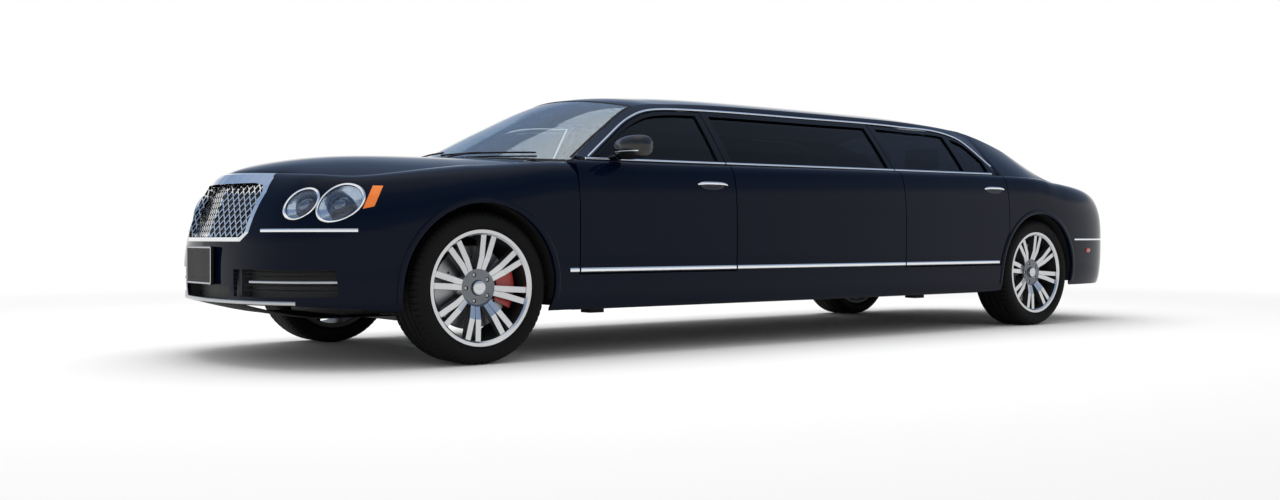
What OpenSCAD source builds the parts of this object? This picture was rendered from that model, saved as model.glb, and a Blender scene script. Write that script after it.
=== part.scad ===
/* [Overall] */
// Body width without mirrors
body_w = 1970; // [1940:5:2010]
// Distance from the front axle to the nose
front_overhang = 1000; // [970:5:1040]
// Distance between the axles
wheelbase = 4410; // [4300:10:4600]
// Distance from the rear axle to the tail
rear_overhang = 1229; // [1200:1:1260]
// Underside of the sills above the ground
sill_z = 240; // [220:5:255]
// Height of the belt line at the front door
belt_z = 990; // [970:2:1010]
// Rise of the belt line from front door to rear door
belt_rise = 28; // [10:2:40]
// Height of the roof's side edges
cant_z = 1366; // [1345:2:1390]
// Inset of the roof's side edges from the body's sides
cant_in = 373; // [355:1:390]
// Rise of the roof across its width
roof_crown = 80; // [65:1:95]

/* [Wheels] */
// Outer diameter of the tyres
tyre_d = 726; // [716:1:732]
// Width of the tyres
tyre_w = 274; // [260:1:278]
// Inset of the wheels' middle planes from the body's sides
wheel_in = 168; // [165:1:175]
// Height of the tyres' side walls
sidewall_h = 87; // [83:1:90]
// Number of twin spokes on a rim
twin_spokes = 8; // [6:1:10]
// Room between brake disc and rim
disc_room = 76; // [71:1:86]
// Room between tyre and wheel arch
arch_room = 39; // [37:1:49]
// Radius of the stub axles
stub_r = 32; // [28:1:36]

/* [Doors] */
// Front edge of the front door behind the front axle
door_start = 545; // [530:1:560]
// Length of the front door
front_door_len = 1047; // [1000:1:1100]
// Front edge of the rear door ahead of the rear axle
rear_door_start = 1407; // [1350:1:1450]
// Rear edge of the rear door ahead of the rear axle
rear_door_end = 350; // [330:1:370]
// Underside of the doors above the ground
door_z = 425; // [415:1:435]
// Radius of the door hinge pins
hinge_pin_r = 6; // [5:0.5:7]

/* [Clearances] */
// Gap around moving panels
shut_gap = 6.5; // [6:0.5:8]
// Gap between fixed panels
seam = 0.3; // [0.2:0.05:0.5]
// Radial clearance of pins in their bores
pin_play = 0.05; // [0.03:0.01:0.08]
// Thickness of the outer skins
skin_t = 20; // [16:1:22]
// Thickness of the window glass
glass_t = 6; // [5:0.5:8]

/* [Hidden] */
$fn = 48;

// Main places, x forward from mid length, y to the left, z up from the ground
hw = body_w / 2;
plate_t = 14.7;
overall_len = front_overhang + wheelbase + rear_overhang + plate_t + seam;
x_nose = overall_len / 2 - plate_t - seam;
x_tail = -overall_len / 2;
x_fa = x_nose - front_overhang;
x_ra = x_fa - wheelbase;
wheel_r = tyre_d / 2;
wheel_y = hw - wheel_in;
rim_d = tyre_d - 2 * sidewall_h;
rim_w = tyre_w - 24;
disc_d = rim_d - 2 * disc_room;
arch_r = wheel_r + arch_room;
cant_y = hw - cant_in;
side_bow = 10;
y_end = hw - side_bow;
x_t0 = x_ra - 150;
door1_front = door_start;
door1_rear = door_start + front_door_len;
door2_front = wheelbase - rear_door_start;
door2_rear = wheelbase - rear_door_end;
floor_z = sill_z + 20;
floor_t = 30;
floor_top = floor_z + floor_t;
floor_y = hw - 140;
trim_y = hw - 135;
bumper_top = 632;
rear_bumper_top = 600;

// Outline of the body in plan: nose curve, bowed side, tail curve
nose_sweep = 20;
nose_flat = hw - 465;
nose_corner = front_overhang - 130;
tail_corner = 150;
tail_flat = hw - 205;
nose_pts = [[x_nose, 0], [x_nose - nose_sweep, nose_flat], [x_fa + nose_corner, y_end], [x_fa, y_end]];
tail_pts = [[x_t0, y_end], [x_tail + tail_corner, y_end], [x_tail, tail_flat], [x_tail, 0]];

function lerp(a, b, t) = a + (b - a) * t;
function bez(p, t) =
    p[0] * pow(1 - t, 3) + 3 * p[1] * t * pow(1 - t, 2) + 3 * p[2] * t * t * (1 - t) + p[3] * pow(t, 3);
function side_at(s) = [lerp(x_fa, x_t0, s - 1), hw - side_bow * (1 - cos(360 * (s - 1.5))) / 2];
function plan(s) =
    s < 0 ? [plan(-s)[0], -plan(-s)[1]] :
    s > 3 ? [plan(6 - s)[0], -plan(6 - s)[1]] :
    s <= 1 ? bez(nose_pts, s) : s <= 2 ? side_at(s) : bez(tail_pts, s - 2);
function plan_normal(s) =
    let (e = 0.002, d = plan(s + e) - plan(s - e)) [d[1], -d[0]] / norm(d);
function s_of(q) = 1 + q / (x_fa - x_t0);
function px(q) = x_fa - q;
function plan_y(q) = side_at(s_of(q))[1];
function belt(q) = belt_z + belt_rise * (q - door_start) / (wheelbase - rear_door_end - door_start);

// Smooth lookup of a column in a table whose first column rises
function row_at(tab, k, i = 0) = (i >= len(tab) - 2 || k < tab[i + 1][0]) ? i : row_at(tab, k, i + 1);
function slope_at(tab, i, c) =
    (i == 0 || i == len(tab) - 1) ? 0 : (tab[i + 1][c] - tab[i - 1][c]) / (tab[i + 1][0] - tab[i - 1][0]);
function col(tab, k, c) =
    let (i = row_at(tab, k), a = tab[i], b = tab[i + 1], h = b[0] - a[0])
    let (t = max(0, min(1, (k - a[0]) / h)), u = 1 - t)
    a[c] * (1 + 2 * t) * u * u + slope_at(tab, i, c) * h * t * u * u
    + b[c] * t * t * (3 - 2 * t) - slope_at(tab, i + 1, c) * h * t * t * u;

// Body sections around the plan outline
// columns: place on the outline, low edge z, tuck at the low edge, widest z, top edge z, top inset, roundness
FRONT = [
    [0.00, sill_z + 58, 15, 450, 912, 140, 2.0],
    [0.30, sill_z + 58, 15, 452, 903, 190, 1.7],
    [0.50, sill_z + 50, 25, 468, 895, 190, 2.0],
    [0.72, sill_z + 32, 48, 510, 890, 200, 2.3],
    [1.00, sill_z, 62, 640, belt_z - 38, 240, 2.9],
    [s_of(door_start), sill_z, 65, 650, belt_z - 4, 232, 4.0]];
belt_in = 75;
belt_ledge = 15;
CABIN = [
    [s_of(door_start), sill_z, 65, 650, belt_z, belt_in, 2.4],
    [s_of(door2_rear), sill_z, 65, 655, belt_z + belt_rise, belt_in, 2.5]];
REAR = [
    [s_of(door2_rear), sill_z, 65, 655, belt_z + belt_rise, belt_in, 2.5],
    [s_of(wheelbase), sill_z, 62, 680, belt_z + 25, 100, 3.0],
    [2.06, sill_z + 6, 60, 668, belt_z + 8, 190, 3.2],
    [2.35, sill_z + 14, 55, 600, belt_z - 28, 235, 2.9],
    [2.70, sill_z + 24, 50, 540, belt_z - 52, 200, 2.5],
    [3.00, sill_z + 26, 50, 530, belt_z - 52, 185, 2.4]];
low_round = 2.5;

// Place on a section: v runs from -1 at the low edge, 0 at the widest height, to 1 at the top edge
function folded(s) = s < 0 ? -s : s > 3 ? 6 - s : s;
function v_of(tab, s, z) =
    let (f = folded(s), zm = col(tab, f, 3))
    z >= zm ? asin(pow(min(1, (z - zm) / (col(tab, f, 4) - zm)), col(tab, f, 6) / 2)) / 90
    : -asin(pow(min(1, (zm - z) / (zm - col(tab, f, 1))), low_round / 2)) / 90;
function section(tab, s, v) =
    let (f = folded(s), zm = col(tab, f, 3), a = 90 * abs(v))
    let (p = 2 / (v >= 0 ? col(tab, f, 6) : low_round))
    let (in = (v >= 0 ? col(tab, f, 5) : col(tab, f, 2)) * (1 - pow(max(0, cos(a)), p)))
    let (z = zm + (v >= 0 ? col(tab, f, 4) - zm : col(tab, f, 1) - zm) * pow(sin(a), p))
    [in, z];
function body(tab, s, v, t = 0) =
    let (d = section(tab, s, v), n = plan_normal(s), o = plan(s), a = 90 * v)
    let (in = d[0] + t * cos(a))
    [o[0] - n[0] * in, o[1] - n[1] * in, d[1] - t * sin(a)];
function body_z(tab, s, z) = body(tab, s, v_of(tab, s, z));

// Upper surface of windscreen, roof and rear window
// columns: distance behind the front axle, edge half width, edge z, crown, forward sweep at the middle
TOP = [
    [400, hw - 155, cant_z - 520, 10, 500],
    [640, hw - 235, cant_z - 363, 25, 390],
    [900, hw - 313, cant_z - 188, 46, 250],
    [1150, cant_y - 12, cant_z - 46, 64, 120],
    [1420, cant_y - 10, cant_z - 14, roof_crown - 6, 40],
    [1900, cant_y - 4, cant_z, roof_crown, 0],
    [wheelbase - 1400, cant_y, cant_z, roof_crown, 0],
    [wheelbase - 900, cant_y, cant_z - 8, roof_crown, -8],
    [wheelbase - 400, cant_y + 2, cant_z - 46, roof_crown, -40],
    [wheelbase, cant_y + 16, cant_z - 141, 64, -80],
    [wheelbase + 300, cant_y + 52, cant_z - 271, 38, -105],
    [wheelbase + 520, cant_y + 88, cant_z - 366, 18, -120],
    [wheelbase + 760, cant_y + 110, cant_z - 440, 8, -120]];
screen_base = 640;
screen_top = 1150;
rear_screen_top = wheelbase - 400;
rear_screen_base = wheelbase + 520;
function top_at(q, k, drop = 0) =
    let (b = 1 - k * k)
    [px(q) + col(TOP, q, 4) * b, k * (col(TOP, q, 1) - seam), col(TOP, q, 2) + col(TOP, q, 3) * b - drop];

// Side glass surface and the upper edge of the side windows
glass_bow = 10;
function side_y(q, z) =
    let (t = (z - belt(q)) / (cant_z - belt(q)), b = plan_y(q) - belt_in - belt_ledge)
    lerp(b, cant_y, t) + glass_bow * 4 * t * (1 - t);
// columns: distance behind the front axle, z of the upper edge
WINDOW_TOP = [
    [560, belt_z - 56],
    [650, belt_z + 4],
    [830, belt_z + 120],
    [1026, belt_z + 237],
    [1214, cant_z - 74],
    [1500, cant_z - 52],
    [2400, cant_z - 46],
    [wheelbase - 1100, cant_z - 50],
    [wheelbase - 560, cant_z - 103],
    [wheelbase - 355, belt_z + belt_rise + 4],
    [wheelbase - 200, belt_z + belt_rise - 160]];
function window_top(q) = col(WINDOW_TOP, q, 1);

// A closed sheet between an outer and an inner grid of points
function flat_list(g) = [for (r = g) for (p = r) p];
module sheet(outer, inner) {
    m = len(outer) - 1;
    n = len(outer[0]) - 1;
    count = (m + 1) * (n + 1);
    function id(i, j) = i * (n + 1) + j;
    skin = [for (i = [0:m - 1]) for (j = [0:n - 1]) each
        let (a = id(i, j), b = id(i + 1, j), c = id(i + 1, j + 1), d = id(i, j + 1))
        [[a, c, b], [a, d, c], [a + count, b + count, c + count], [a + count, c + count, d + count]]];
    rims = [for (i = [0:m - 1]) each
        let (a = id(i, 0), b = id(i + 1, 0), c = id(i + 1, n), d = id(i, n))
        [[a, b, b + count], [a, b + count, a + count], [c, d, d + count], [c, d + count, c + count]]];
    ends = [for (j = [0:n - 1]) each
        let (a = id(0, j), d = id(0, j + 1), b = id(m, j), c = id(m, j + 1))
        [[d, a, a + count], [d, a + count, d + count], [b, c, c + count], [b, c + count, b + count]]];
    polyhedron(points = concat(flat_list(outer), flat_list(inner)), faces = concat(skin, rims, ends));
}
function steps(a, b, n) = [for (i = [0:n]) lerp(a, b, i / n)];

// A skin panel along the outline between two heights
module skin_panel(tab, ss, low, high, n, t) {
    function vs(s) = steps(v_of(tab, s, low(s)), v_of(tab, s, high(s)), n);
    sheet([for (s = ss) [for (v = vs(s)) body(tab, s, v)]], [for (s = ss) [for (v = vs(s)) body(tab, s, v, t)]]);
}

module both_sides() {
    children();
    mirror([0, 1, 0]) children();
}
module side(left) {
    mirror([0, left ? 0 : 1, 0]) children();
}
module bar_y(x, y0, y1, z, r) {
    translate([x, y0, z]) rotate([-90, 0, 0]) cylinder(r = r, h = y1 - y0);
}
module block(a, b) {
    translate(a) cube(b - a);
}
module arch_cut(x, r) {
    bar_y(x, 400, hw + 60, wheel_r, r);
}

// Sills
arch_lip = 34;
module sills() {
    ss = [for (q = steps(door_start - shut_gap + seam, door2_rear, 8)) s_of(q)];
    top = door_z - shut_gap;
    function vs(s) = steps(-1, v_of(CABIN, s, top), 6);
    color("midnightblue") both_sides() difference() {
        sheet([for (s = ss) [for (v = vs(s)) body(CABIN, s, v)]],
            [for (s = ss) [for (v = vs(s)) let (p = body(CABIN, s, v)) [p[0], floor_y + seam, p[2]]]]);
        arch_cut(x_ra, arch_r + arch_lip + seam);
    }
}

// Underbody: floor with tunnel, bulkheads, rails and hinge posts
fire_q = 505;
tunnel_w = 230;
tunnel_h = 170;
kick_q = wheelbase - 440;
rear_floor_y = hw - 385;
rear_floor_z = wheel_r + 107;
rear_rail_z = wheel_r + 37;
front_rail_z = [wheel_r - 33, wheel_r + 67];
rail_y0 = 380;
rail_y1 = 450;
post_y0 = trim_y - 70;
post_y1 = trim_y + 30;
hinge_back = 120;
hinge_in = 30;
hinge_zs = [520, 740];
hinge_pocket = 70;
hinge_knuckle = 56;
bulk_z = belt_z - 70;
shelf_z = belt_z - 60;
jack_q = [door1_front + 200, door2_front + 300];
module hinge_arms(q) {
    x = px(q + hinge_back);
    y = hw - hinge_in;
    for (z = hinge_zs) translate([x, y, z - hinge_knuckle / 2]) difference() {
        union() {
            cylinder(r = hinge_pin_r * 2, h = hinge_knuckle);
            translate([-8, trim_y - 50 - y, 6]) cube([16, y - trim_y + 50, hinge_knuckle - 12]);
            translate([-8, trim_y - 50 - y, 6]) cube([hinge_back + shut_gap + 20, 30, hinge_knuckle - 12]);
        }
        translate([0, 0, -1]) cylinder(r = hinge_pin_r + pin_play, h = hinge_knuckle + 2);
    }
}
module tunnel_floor(q0, q1) {
    t = tunnel_w / 2;
    w = floor_t / 2;
    translate([px(q1), 0, 0]) rotate([90, 0, 90]) linear_extrude(q1 - q0) polygon([[-floor_y, floor_z],
        [-t + w, floor_z], [-t + w + 20, floor_z + tunnel_h], [t - w - 20, floor_z + tunnel_h], [t - w, floor_z],
        [floor_y, floor_z], [floor_y, floor_top], [t + w, floor_top], [t - 8, floor_top + tunnel_h],
        [8 - t, floor_top + tunnel_h], [-t - w, floor_top], [-floor_y, floor_top]]);
}
module underbody() {
    color("dimgray") union() {
        tunnel_floor(fire_q, kick_q);
        block([px(fire_q), -post_y1, floor_z], [px(fire_q) + 22, post_y1, bulk_z]);
        block([px(kick_q) - 22, -floor_y, floor_z], [px(kick_q), floor_y, rear_floor_z + 25]);
        block([x_tail + 190, -rear_floor_y, rear_floor_z], [px(kick_q), rear_floor_y, rear_floor_z + 25]);
        block([px(wheelbase + 60), -rear_floor_y, rear_floor_z], [px(wheelbase + 35), rear_floor_y, belt_z - 20]);
        both_sides() {
            block([px(fire_q), rail_y0, front_rail_z[0]], [x_nose - 150, rail_y1, front_rail_z[1]]);
            block([x_tail + 190, rail_y0 + 80, rear_rail_z], [px(kick_q), rail_y1 + 80, rear_floor_z]);
            block([px(door_start - shut_gap - 10), post_y0, floor_z], [px(fire_q) + 10, post_y1, bulk_z]);
            hinge_arms(door1_front);
            hinge_bracket(hood_axis, hood_hinge_y, px(fire_q), bulk_z - 24);
            hinge_bracket(lid_axis, lid_hinge_y, px(rear_screen_base + 20), shelf_z - 14);
            for (q = jack_q) block([px(q) - 45, floor_y - 90, sill_z - 25], [px(q) + 45, floor_y - 10, floor_z + 5]);
        }
        block([px(rear_screen_base + 50), -rear_floor_y, shelf_z - 15], [px(wheelbase + 40), rear_floor_y, shelf_z]);
        block([x_nose - 190, -rail_y1, front_rail_z[0]], [x_nose - 150, rail_y1, front_rail_z[1]]);
    }
}

// Front bumper cover with its air intakes
grille_s = 0.29;
bumper_end = 300;
function s_nose(x) = // place on the nose curve at a distance x ahead of the front axle, by halving
    let (f = function(f, a, b, n) n == 0 ? (a + b) / 2 : let (m = (a + b) / 2)
        plan(m)[0] - x_fa > x ? f(f, m, b, n - 1) : f(f, a, m, n - 1))
    f(f, 0, 1, 24);
bumper_s = s_nose(bumper_end);
intake_y = [330, hw - 285];
intake_z = [330, 455];
module intake_cut(y0, y1, z0, z1) {
    block([x_nose - 580, y0, z0], [x_nose + 50, y1, z1]);
}
nose_ss = steps(grille_s - 0.05, bumper_s, 10);
module front_bumper() {
    ss = concat([for (i = [10:-1:0]) -nose_ss[i]], steps(-0.18, 0.18, 6), nose_ss);
    color("midnightblue") difference() {
        skin_panel(FRONT, ss, function(s) col(FRONT, abs(s), 1) + 2, function(s) bumper_top, 7, skin_t);
        grille_prism(grille_edge + seam, grille_top_edge);
        both_sides() {
            arch_cut(x_fa, arch_r);
            intake_cut(intake_y[0], intake_y[1], intake_z[0], intake_z[1]);
        }
        intake_cut(-intake_y[0] + 40, intake_y[0] - 40, 300, 380);
    }
}

// Front wings from grille to door, open for the lamps and the wheel
// columns: place on the outline, z, radius of the lamp
LAMPS = [[0.51, 752, 76], [0.64, 756, 92]];
marker_s = [0.712, 0.76];
marker_z = [730, 838];
function lamp_pos(l) = body_z(FRONT, l[0], l[1]);
module at_lamp(l) {
    n = plan_normal(l[0]);
    translate(lamp_pos(l)) rotate([0, 0, atan2(n[1], n[0])]) rotate([0, 90 - 14, 0]) children();
}
module marker_prism(grow) {
    a = plan(marker_s[0]);
    b = plan(marker_s[1]);
    n = plan_normal((marker_s[0] + marker_s[1]) / 2);
    m = (a + b) / 2;
    w = norm(a - b) / 2 + grow;
    translate([m[0], m[1], 0]) rotate([0, 0, atan2(n[1], n[0])]) translate([0, 0, marker_z[0] - grow])
        rotate([0, -90, 0]) translate([0, 0, -60]) linear_extrude(160)
        polygon([[0, 2 - w], [marker_z[1] - marker_z[0] + 2 * grow, 50 - w],
            [marker_z[1] - marker_z[0] + 2 * grow, w + 16], [12, w - 26]]);
}
wing_z0 = bumper_top + seam;
function wing_low(s) =
    let (x = plan(s)[0] - x_fa)
    x > bumper_end ? wing_z0 : x < -bumper_end ? sill_z + 2
    : lerp(sill_z + 2, wing_z0, (x + bumper_end) / (2 * bumper_end));
module front_wings() {
    ss = concat(nose_ss, steps(bumper_s + 0.02, s_of(door_start - shut_gap), 11));
    color("midnightblue") both_sides() difference() {
        skin_panel(FRONT, ss, function(s) wing_low(s), function(s) 2000, 8, skin_t);
        grille_prism(grille_edge + seam, grille_top_edge);
        arch_cut(x_fa, arch_r);
        for (l = LAMPS) at_lamp(l) translate([0, 0, -90]) cylinder(r = l[2], h = 180);
        marker_prism(seam);
    }
}

// Grille: bright surround and crossed mesh
grille_z = [602, 858];
grille_w = [hw - 605, hw - 587];
grille_edge = 27;
grille_top_edge = 62;
function grille_half(e, top) = [
    [grille_w[0] - 34 + e / 2, grille_z[0] - e * 0.7], [grille_w[0] + e, grille_z[0] + 20],
    [grille_w[1] + e, grille_z[1] - 46], [grille_w[1] - 24 + e, grille_z[1] - 12 + top * 0.5],
    [grille_w[1] - 86 + e, grille_z[1] + top]];
function mirrored(p) = concat(p, [for (i = [len(p) - 1:-1:0]) [-p[i][0], p[i][1]]]);
module grille_prism(e, top) {
    translate([x_fa + 400, 0, 0]) rotate([90, 0, 90]) linear_extrude(front_overhang)
        polygon(mirrored(grille_half(e, top)));
}
module grille_surround() {
    ss = steps(-grille_s - 0.08, grille_s + 0.08, 16);
    color("silver") difference() {
        intersection() {
            skin_panel(FRONT, ss, function(s) grille_z[0] - 40, function(s) 2000, 8, skin_t * 1.6);
            grille_prism(grille_edge, grille_top_edge);
        }
        grille_prism(0, 0);
    }
}
mesh_pitch = 30;
mesh_bar = 6;
mesh_t = 8;
mesh_in = 26;
function inset_at(s, z) = section(FRONT, s, v_of(FRONT, s, z))[0];
module mesh_half() {
    a = body_z(FRONT, 0, grille_z[0]);
    b = body_z(FRONT, grille_s, grille_z[0]);
    turn = atan2(b[0] - a[0], b[1] - a[1]);
    lean = atan2(inset_at(grille_s, grille_z[1]) - inset_at(grille_s, grille_z[0]), grille_z[1] - grille_z[0]);
    translate([a[0] - mesh_in, 0, a[2]]) rotate([0, 0, -turn]) rotate([0, -lean, 0]) rotate([90, 0, 90])
        linear_extrude(mesh_t) difference() {
            translate([-80, -40]) square([540, 380]);
            for (i = [-2:16]) for (j = [-1:11]) if ((i + j) % 2 == 0)
                translate([i * mesh_pitch / 2 * 1.7, j * mesh_pitch]) rotate(45)
                    square((mesh_pitch * 1.7 - mesh_bar) / sqrt(2), center = true);
        }
}
module grille_mesh() {
    color("gainsboro") intersection() {
        both_sides() intersection() {
            mesh_half();
            block([x_fa, 0, 0], [x_nose, hw, cant_z]);
        }
        grille_prism(-seam, -seam);
    }
}

// Headlamps: bowl with bright rim, clear lens
lamp_depth = 70;
module headlamps() {
    color("silver") both_sides() for (l = LAMPS) at_lamp(l) rotate_extrude() {
        r = l[2] - seam;
        polygon([[0, -lamp_depth], [r * 0.5, -lamp_depth + 4], [r - 8, -22], [r, -22], [r, 6], [r - 4, 9],
            [r - 9, 4], [r - 9, -14], [r * 0.5, -lamp_depth + 14], [0, -lamp_depth + 10]]);
    }
}
module lamp_lenses() {
    color("lightcyan") both_sides() for (l = LAMPS) at_lamp(l) rotate_extrude() {
        r = l[2] - 9 - 2 * seam;
        polygon([[0, 18], [r * 0.5, 14], [r * 0.85, 6], [r, -2], [r, -6], [r * 0.85, 2], [r * 0.5, 10], [0, 14]]);
    }
}
module side_markers() {
    color("darkorange") both_sides() intersection() {
        skin_panel(FRONT, steps(marker_s[0] - 0.05, marker_s[1] + 0.05, 6), function(s) marker_z[0] - 30,
            function(s) marker_z[1] + 20, 4, skin_t);
        marker_prism(0);
    }
}

// Bonnet, hinged at its rear corners
bonnet_back = 440;
bonnet_t = 16;
cowl_x = 215;
bonnet_rise = 54;
function rim_in(tab, s, in) =
    let (e = body(tab, s, 1), n = plan_normal(s)) [e[0] - n[0] * in, e[1] - n[1] * in, e[2]];
function bonnet_mid(p) =
    let (a = rim_in(FRONT, 0, shut_gap), b = col(TOP, screen_base, 2) + col(TOP, screen_base, 3) - 6)
    [lerp(a[0], px(cowl_x), p), 0, lerp(a[2], b, p) + bonnet_rise * sin(180 * pow(p, 0.7))];
// A lid surface between its mid line and its edge
function spread(c, e, k) =
    [lerp(c[0], e[0], pow(abs(k), 2)), k * e[1], lerp(c[2], e[2], pow(abs(k), 2.6))];
function bonnet_soft(p, k) =
    spread(bonnet_mid(p), rim_in(FRONT, lerp(grille_s, s_of(bonnet_back), p), shut_gap), k);
function bonnet_at(p, k) =
    bonnet_soft(p, k) + (rim_in(FRONT, k * grille_s, shut_gap) - bonnet_soft(0, k)) * pow(1 - p, 3);
function across(n) = [for (j = [0:n]) 1 - 2 * j / n];
module lid_sheet(at, m, n) {
    ps = steps(0, 1, m);
    sheet([for (p = ps) [for (k = across(n)) at(p, k)]],
        [for (p = ps) [for (k = across(n)) at(p, k) - [0, 0, bonnet_t]]]);
}
// Lid hinges: a bored lug under the lid's edge, a pin on a bracket of the body
lid_pin_r = 8;
lug_r = 13;
lug_w = 36;
lug_tab = 50;
hood_pt = bonnet_at(1, 0.9);
hood_axis = [hood_pt[0] - lug_r, hood_pt[2] - lug_r];
hood_hinge_y = hood_pt[1] - lug_w / 2;
module hinge_lug(axis, y, dir) {
    bar_y(axis[0], y, y + lug_w, axis[1], lug_r);
    end = axis[0] + dir * lug_tab;
    block([min(axis[0], end), y, axis[1] - 9], [max(axis[0], end), y + lug_w, axis[1] + 4]);
}
module hinge_bore(axis, y) {
    bar_y(axis[0], y - 1, y + lug_w + 1, axis[1], lid_pin_r + pin_play);
}
module hinge_bracket(axis, y, x0, z0) {
    bar_y(axis[0], y - 20, y + lug_w - 2, axis[1], lid_pin_r);
    block([axis[0] - lug_r, y - 28, z0], [axis[0] + lug_r, y - 7, axis[1] + 10]);
    block([min(axis[0], x0) - lug_r, y - 28, z0], [max(axis[0], x0) + lug_r, y - 7, z0 + 28]);
}
module bonnet() {
    color("midnightblue") difference() {
        union() {
            lid_sheet(function(p, k) bonnet_at(p, k), 12, 16);
            both_sides() hinge_lug(hood_axis, hood_hinge_y, 1);
        }
        both_sides() hinge_bore(hood_axis, hood_hinge_y);
    }
}
// Cowl below the windscreen and scuttle below the rear window
scuttle_drop = 55;
scuttle_t = 12;
module scuttle(low, high, axis, y) {
    a = [for (k = across(12)) low(k * 1.055)];
    b = [for (k = across(12)) high(k)];
    down = [0, 0, scuttle_t];
    difference() {
        sheet([a, b], [[for (p = a) p - down], [for (p = b) p - down]]);
        both_sides() block([axis[0] - 90, y - 35, 0], [axis[0] + 90, y + lug_w + 12, cant_z]);
    }
}
module cowl() {
    color("black") {
        scuttle(function(k) bonnet_at(1, k) + [10, 0, -scuttle_drop], function(k) top_at(screen_base - 0.4, k),
            hood_axis, hood_hinge_y);
        mirror([1, 0, 0]) scuttle(function(k) mirror_x(lid_at(0, k) - [10, 0, scuttle_drop]),
            function(k) mirror_x(top_at(rear_screen_base + 0.4, k)), [-lid_axis[0], 0], lid_hinge_y);
    }
}
function mirror_x(p) = [-p[0], p[1], p[2]];

// Side frames: A-pillar, cant rail, C-pillar and rear quarter
frame_in = 45;
function frame_low(q) =
    q < door2_rear + 1 ? let (z = max(window_top(q), belt(q) + 4 + shut_gap)) [side_y(q, z), z]
    : let (p = body(REAR, s_of(q), 1)) [p[1] + 5, p[2] - 6];
function frame_pt(q, w) =
    let (l = frame_low(q), u = [col(TOP, q, 1), col(TOP, q, 2)])
    [px(q), lerp(l[0], u[0], w) + 5 * 4 * w * (1 - w), lerp(l[1], u[1], w)];
function frame_in_pt(q, w) =
    let (l = frame_low(q), u = [col(TOP, q, 1), col(TOP, q, 2)])
    [px(q), max(u[0], lerp(l[0] - frame_in, u[0], w)), lerp(l[1], u[1] - 38, w)];
tail_s0 = 2.60;
lid_y = hw - 425;
function quarter_low(s) =
    let (x = plan(s)[0] - x_ra)
    x > 300 ? sill_z + 2 : x < -300 ? rear_bumper_top + seam
    : lerp(rear_bumper_top + seam, sill_z + 2, (x + 300) / 600);
q_screen = steps(screen_base, screen_top, 6);
q_roof = concat(steps(screen_top, wheelbase - 800, 9), steps(wheelbase - 720, rear_screen_top, 6));
q_rear = concat([rear_screen_top, door2_rear], steps(door2_rear + shut_gap, rear_screen_base, 7));
tail_ss = steps(2.06, 3 - 0.16, 8);
function inside(list, a, b) = [for (q = list) if (q > a && q < b) q];
q_frame = concat([screen_base + 30], inside(q_screen, screen_base + 40, screen_top),
    inside(q_roof, screen_top - 1, rear_screen_top), inside(q_rear, rear_screen_top - 1, rear_screen_base - 1),
    [rear_screen_base - 1]);
module side_frames() {
    qs = q_frame;
    ss = concat(steps(s_of(wheelbase - arch_r - arch_lip), 2, 9), tail_ss);
    color("midnightblue") both_sides() union() {
        sheet([for (q = qs) [for (w = steps(0, 1, 3)) frame_pt(q, w)]],
            [for (q = qs) [for (w = steps(0, 1, 3)) frame_in_pt(q, w)]]);
        difference() {
            skin_panel(REAR, ss, function(s) quarter_low(s), function(s) 2000, 8, skin_t);
            arch_cut(x_ra, arch_r);
            block([x_tail - 50, -hw, 0], [x_ra - 500, lid_y + shut_gap, cant_z]);
            tail_lamp_prism(seam);
            difference() {
                block([x_ra + rear_door_end - shut_gap, 400, 0], [x_ra + 600, hw + 50, cant_z]);
                arch_cut(x_ra, arch_r + arch_lip);
            }
        }
    }
}

// Roof, windscreen and rear window
module top_panel(qs, t) {
    sheet([for (q = qs) [for (k = across(12)) top_at(q, k)]], [for (q = qs) [for (k = across(12)) top_at(q, k, t)]]);
}
module roof_panel() {
    n = len(q_roof) - 1;
    color("midnightblue")
        top_panel([for (i = [0:n]) i == 0 ? q_roof[0] + seam : i == n ? q_roof[n] - seam : q_roof[i]], 24);
}
module screens() {
    color("lightsteelblue") {
        top_panel(q_screen, glass_t);
        top_panel(q_rear, glass_t);
    }
}

// Tail lamps set in the quarters
tail_lamp_z = [690, 830];
tail_lamp_y = [hw - 375, hw - 185];
module tail_lamp_prism(grow) {
    translate([x_tail - 60, 0, 0]) rotate([90, 0, 90]) linear_extrude(560) translate([0, tail_lamp_z[0]])
        polygon([for (i = [0:15]) let (a = i * 22.5, w = (tail_lamp_y[1] - tail_lamp_y[0]) / 2 + grow,
            h = (tail_lamp_z[1] - tail_lamp_z[0]) / 2)
            [(tail_lamp_y[0] + tail_lamp_y[1]) / 2 + w * sign(cos(a)) * pow(abs(cos(a)), 0.6),
             h + (h + grow) * sign(sin(a)) * pow(abs(sin(a)), 0.6)]]);
}
module tail_lamps() {
    color("firebrick") both_sides() intersection() {
        skin_panel(REAR, steps(2.2, 2.84, 8), function(s) tail_lamp_z[0] - 30, function(s) tail_lamp_z[1] + 30, 4,
            skin_t);
        tail_lamp_prism(0);
    }
}

// Rear bumper
rear_bumper_end = 300;
function s_tail(x) =
    let (f = function(f, a, b, n) n == 0 ? (a + b) / 2 : let (m = (a + b) / 2)
        plan(m)[0] - x_ra > x ? f(f, m, b, n - 1) : f(f, a, m, n - 1))
    f(f, 1.5, 3, 24);
module rear_bumper() {
    s0 = s_tail(-rear_bumper_end);
    half = concat([s0], inside(tail_ss, s0 + 0.01, 3), [2.92]);
    n = len(half) - 1;
    ss = concat(half, [3], [for (i = [n:-1:0]) 6 - half[i]]);
    color("midnightblue") difference() {
        skin_panel(REAR, ss, function(s) sill_z + 30, function(s) rear_bumper_top, 6, skin_t);
        both_sides() {
            arch_cut(x_ra, arch_r);
            translate([x_tail - 20, pipe_y, pipe_z]) rotate([0, 90, 0]) cylinder(r = pipe_r + 6, h = 240);
        }
    }
}

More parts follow.
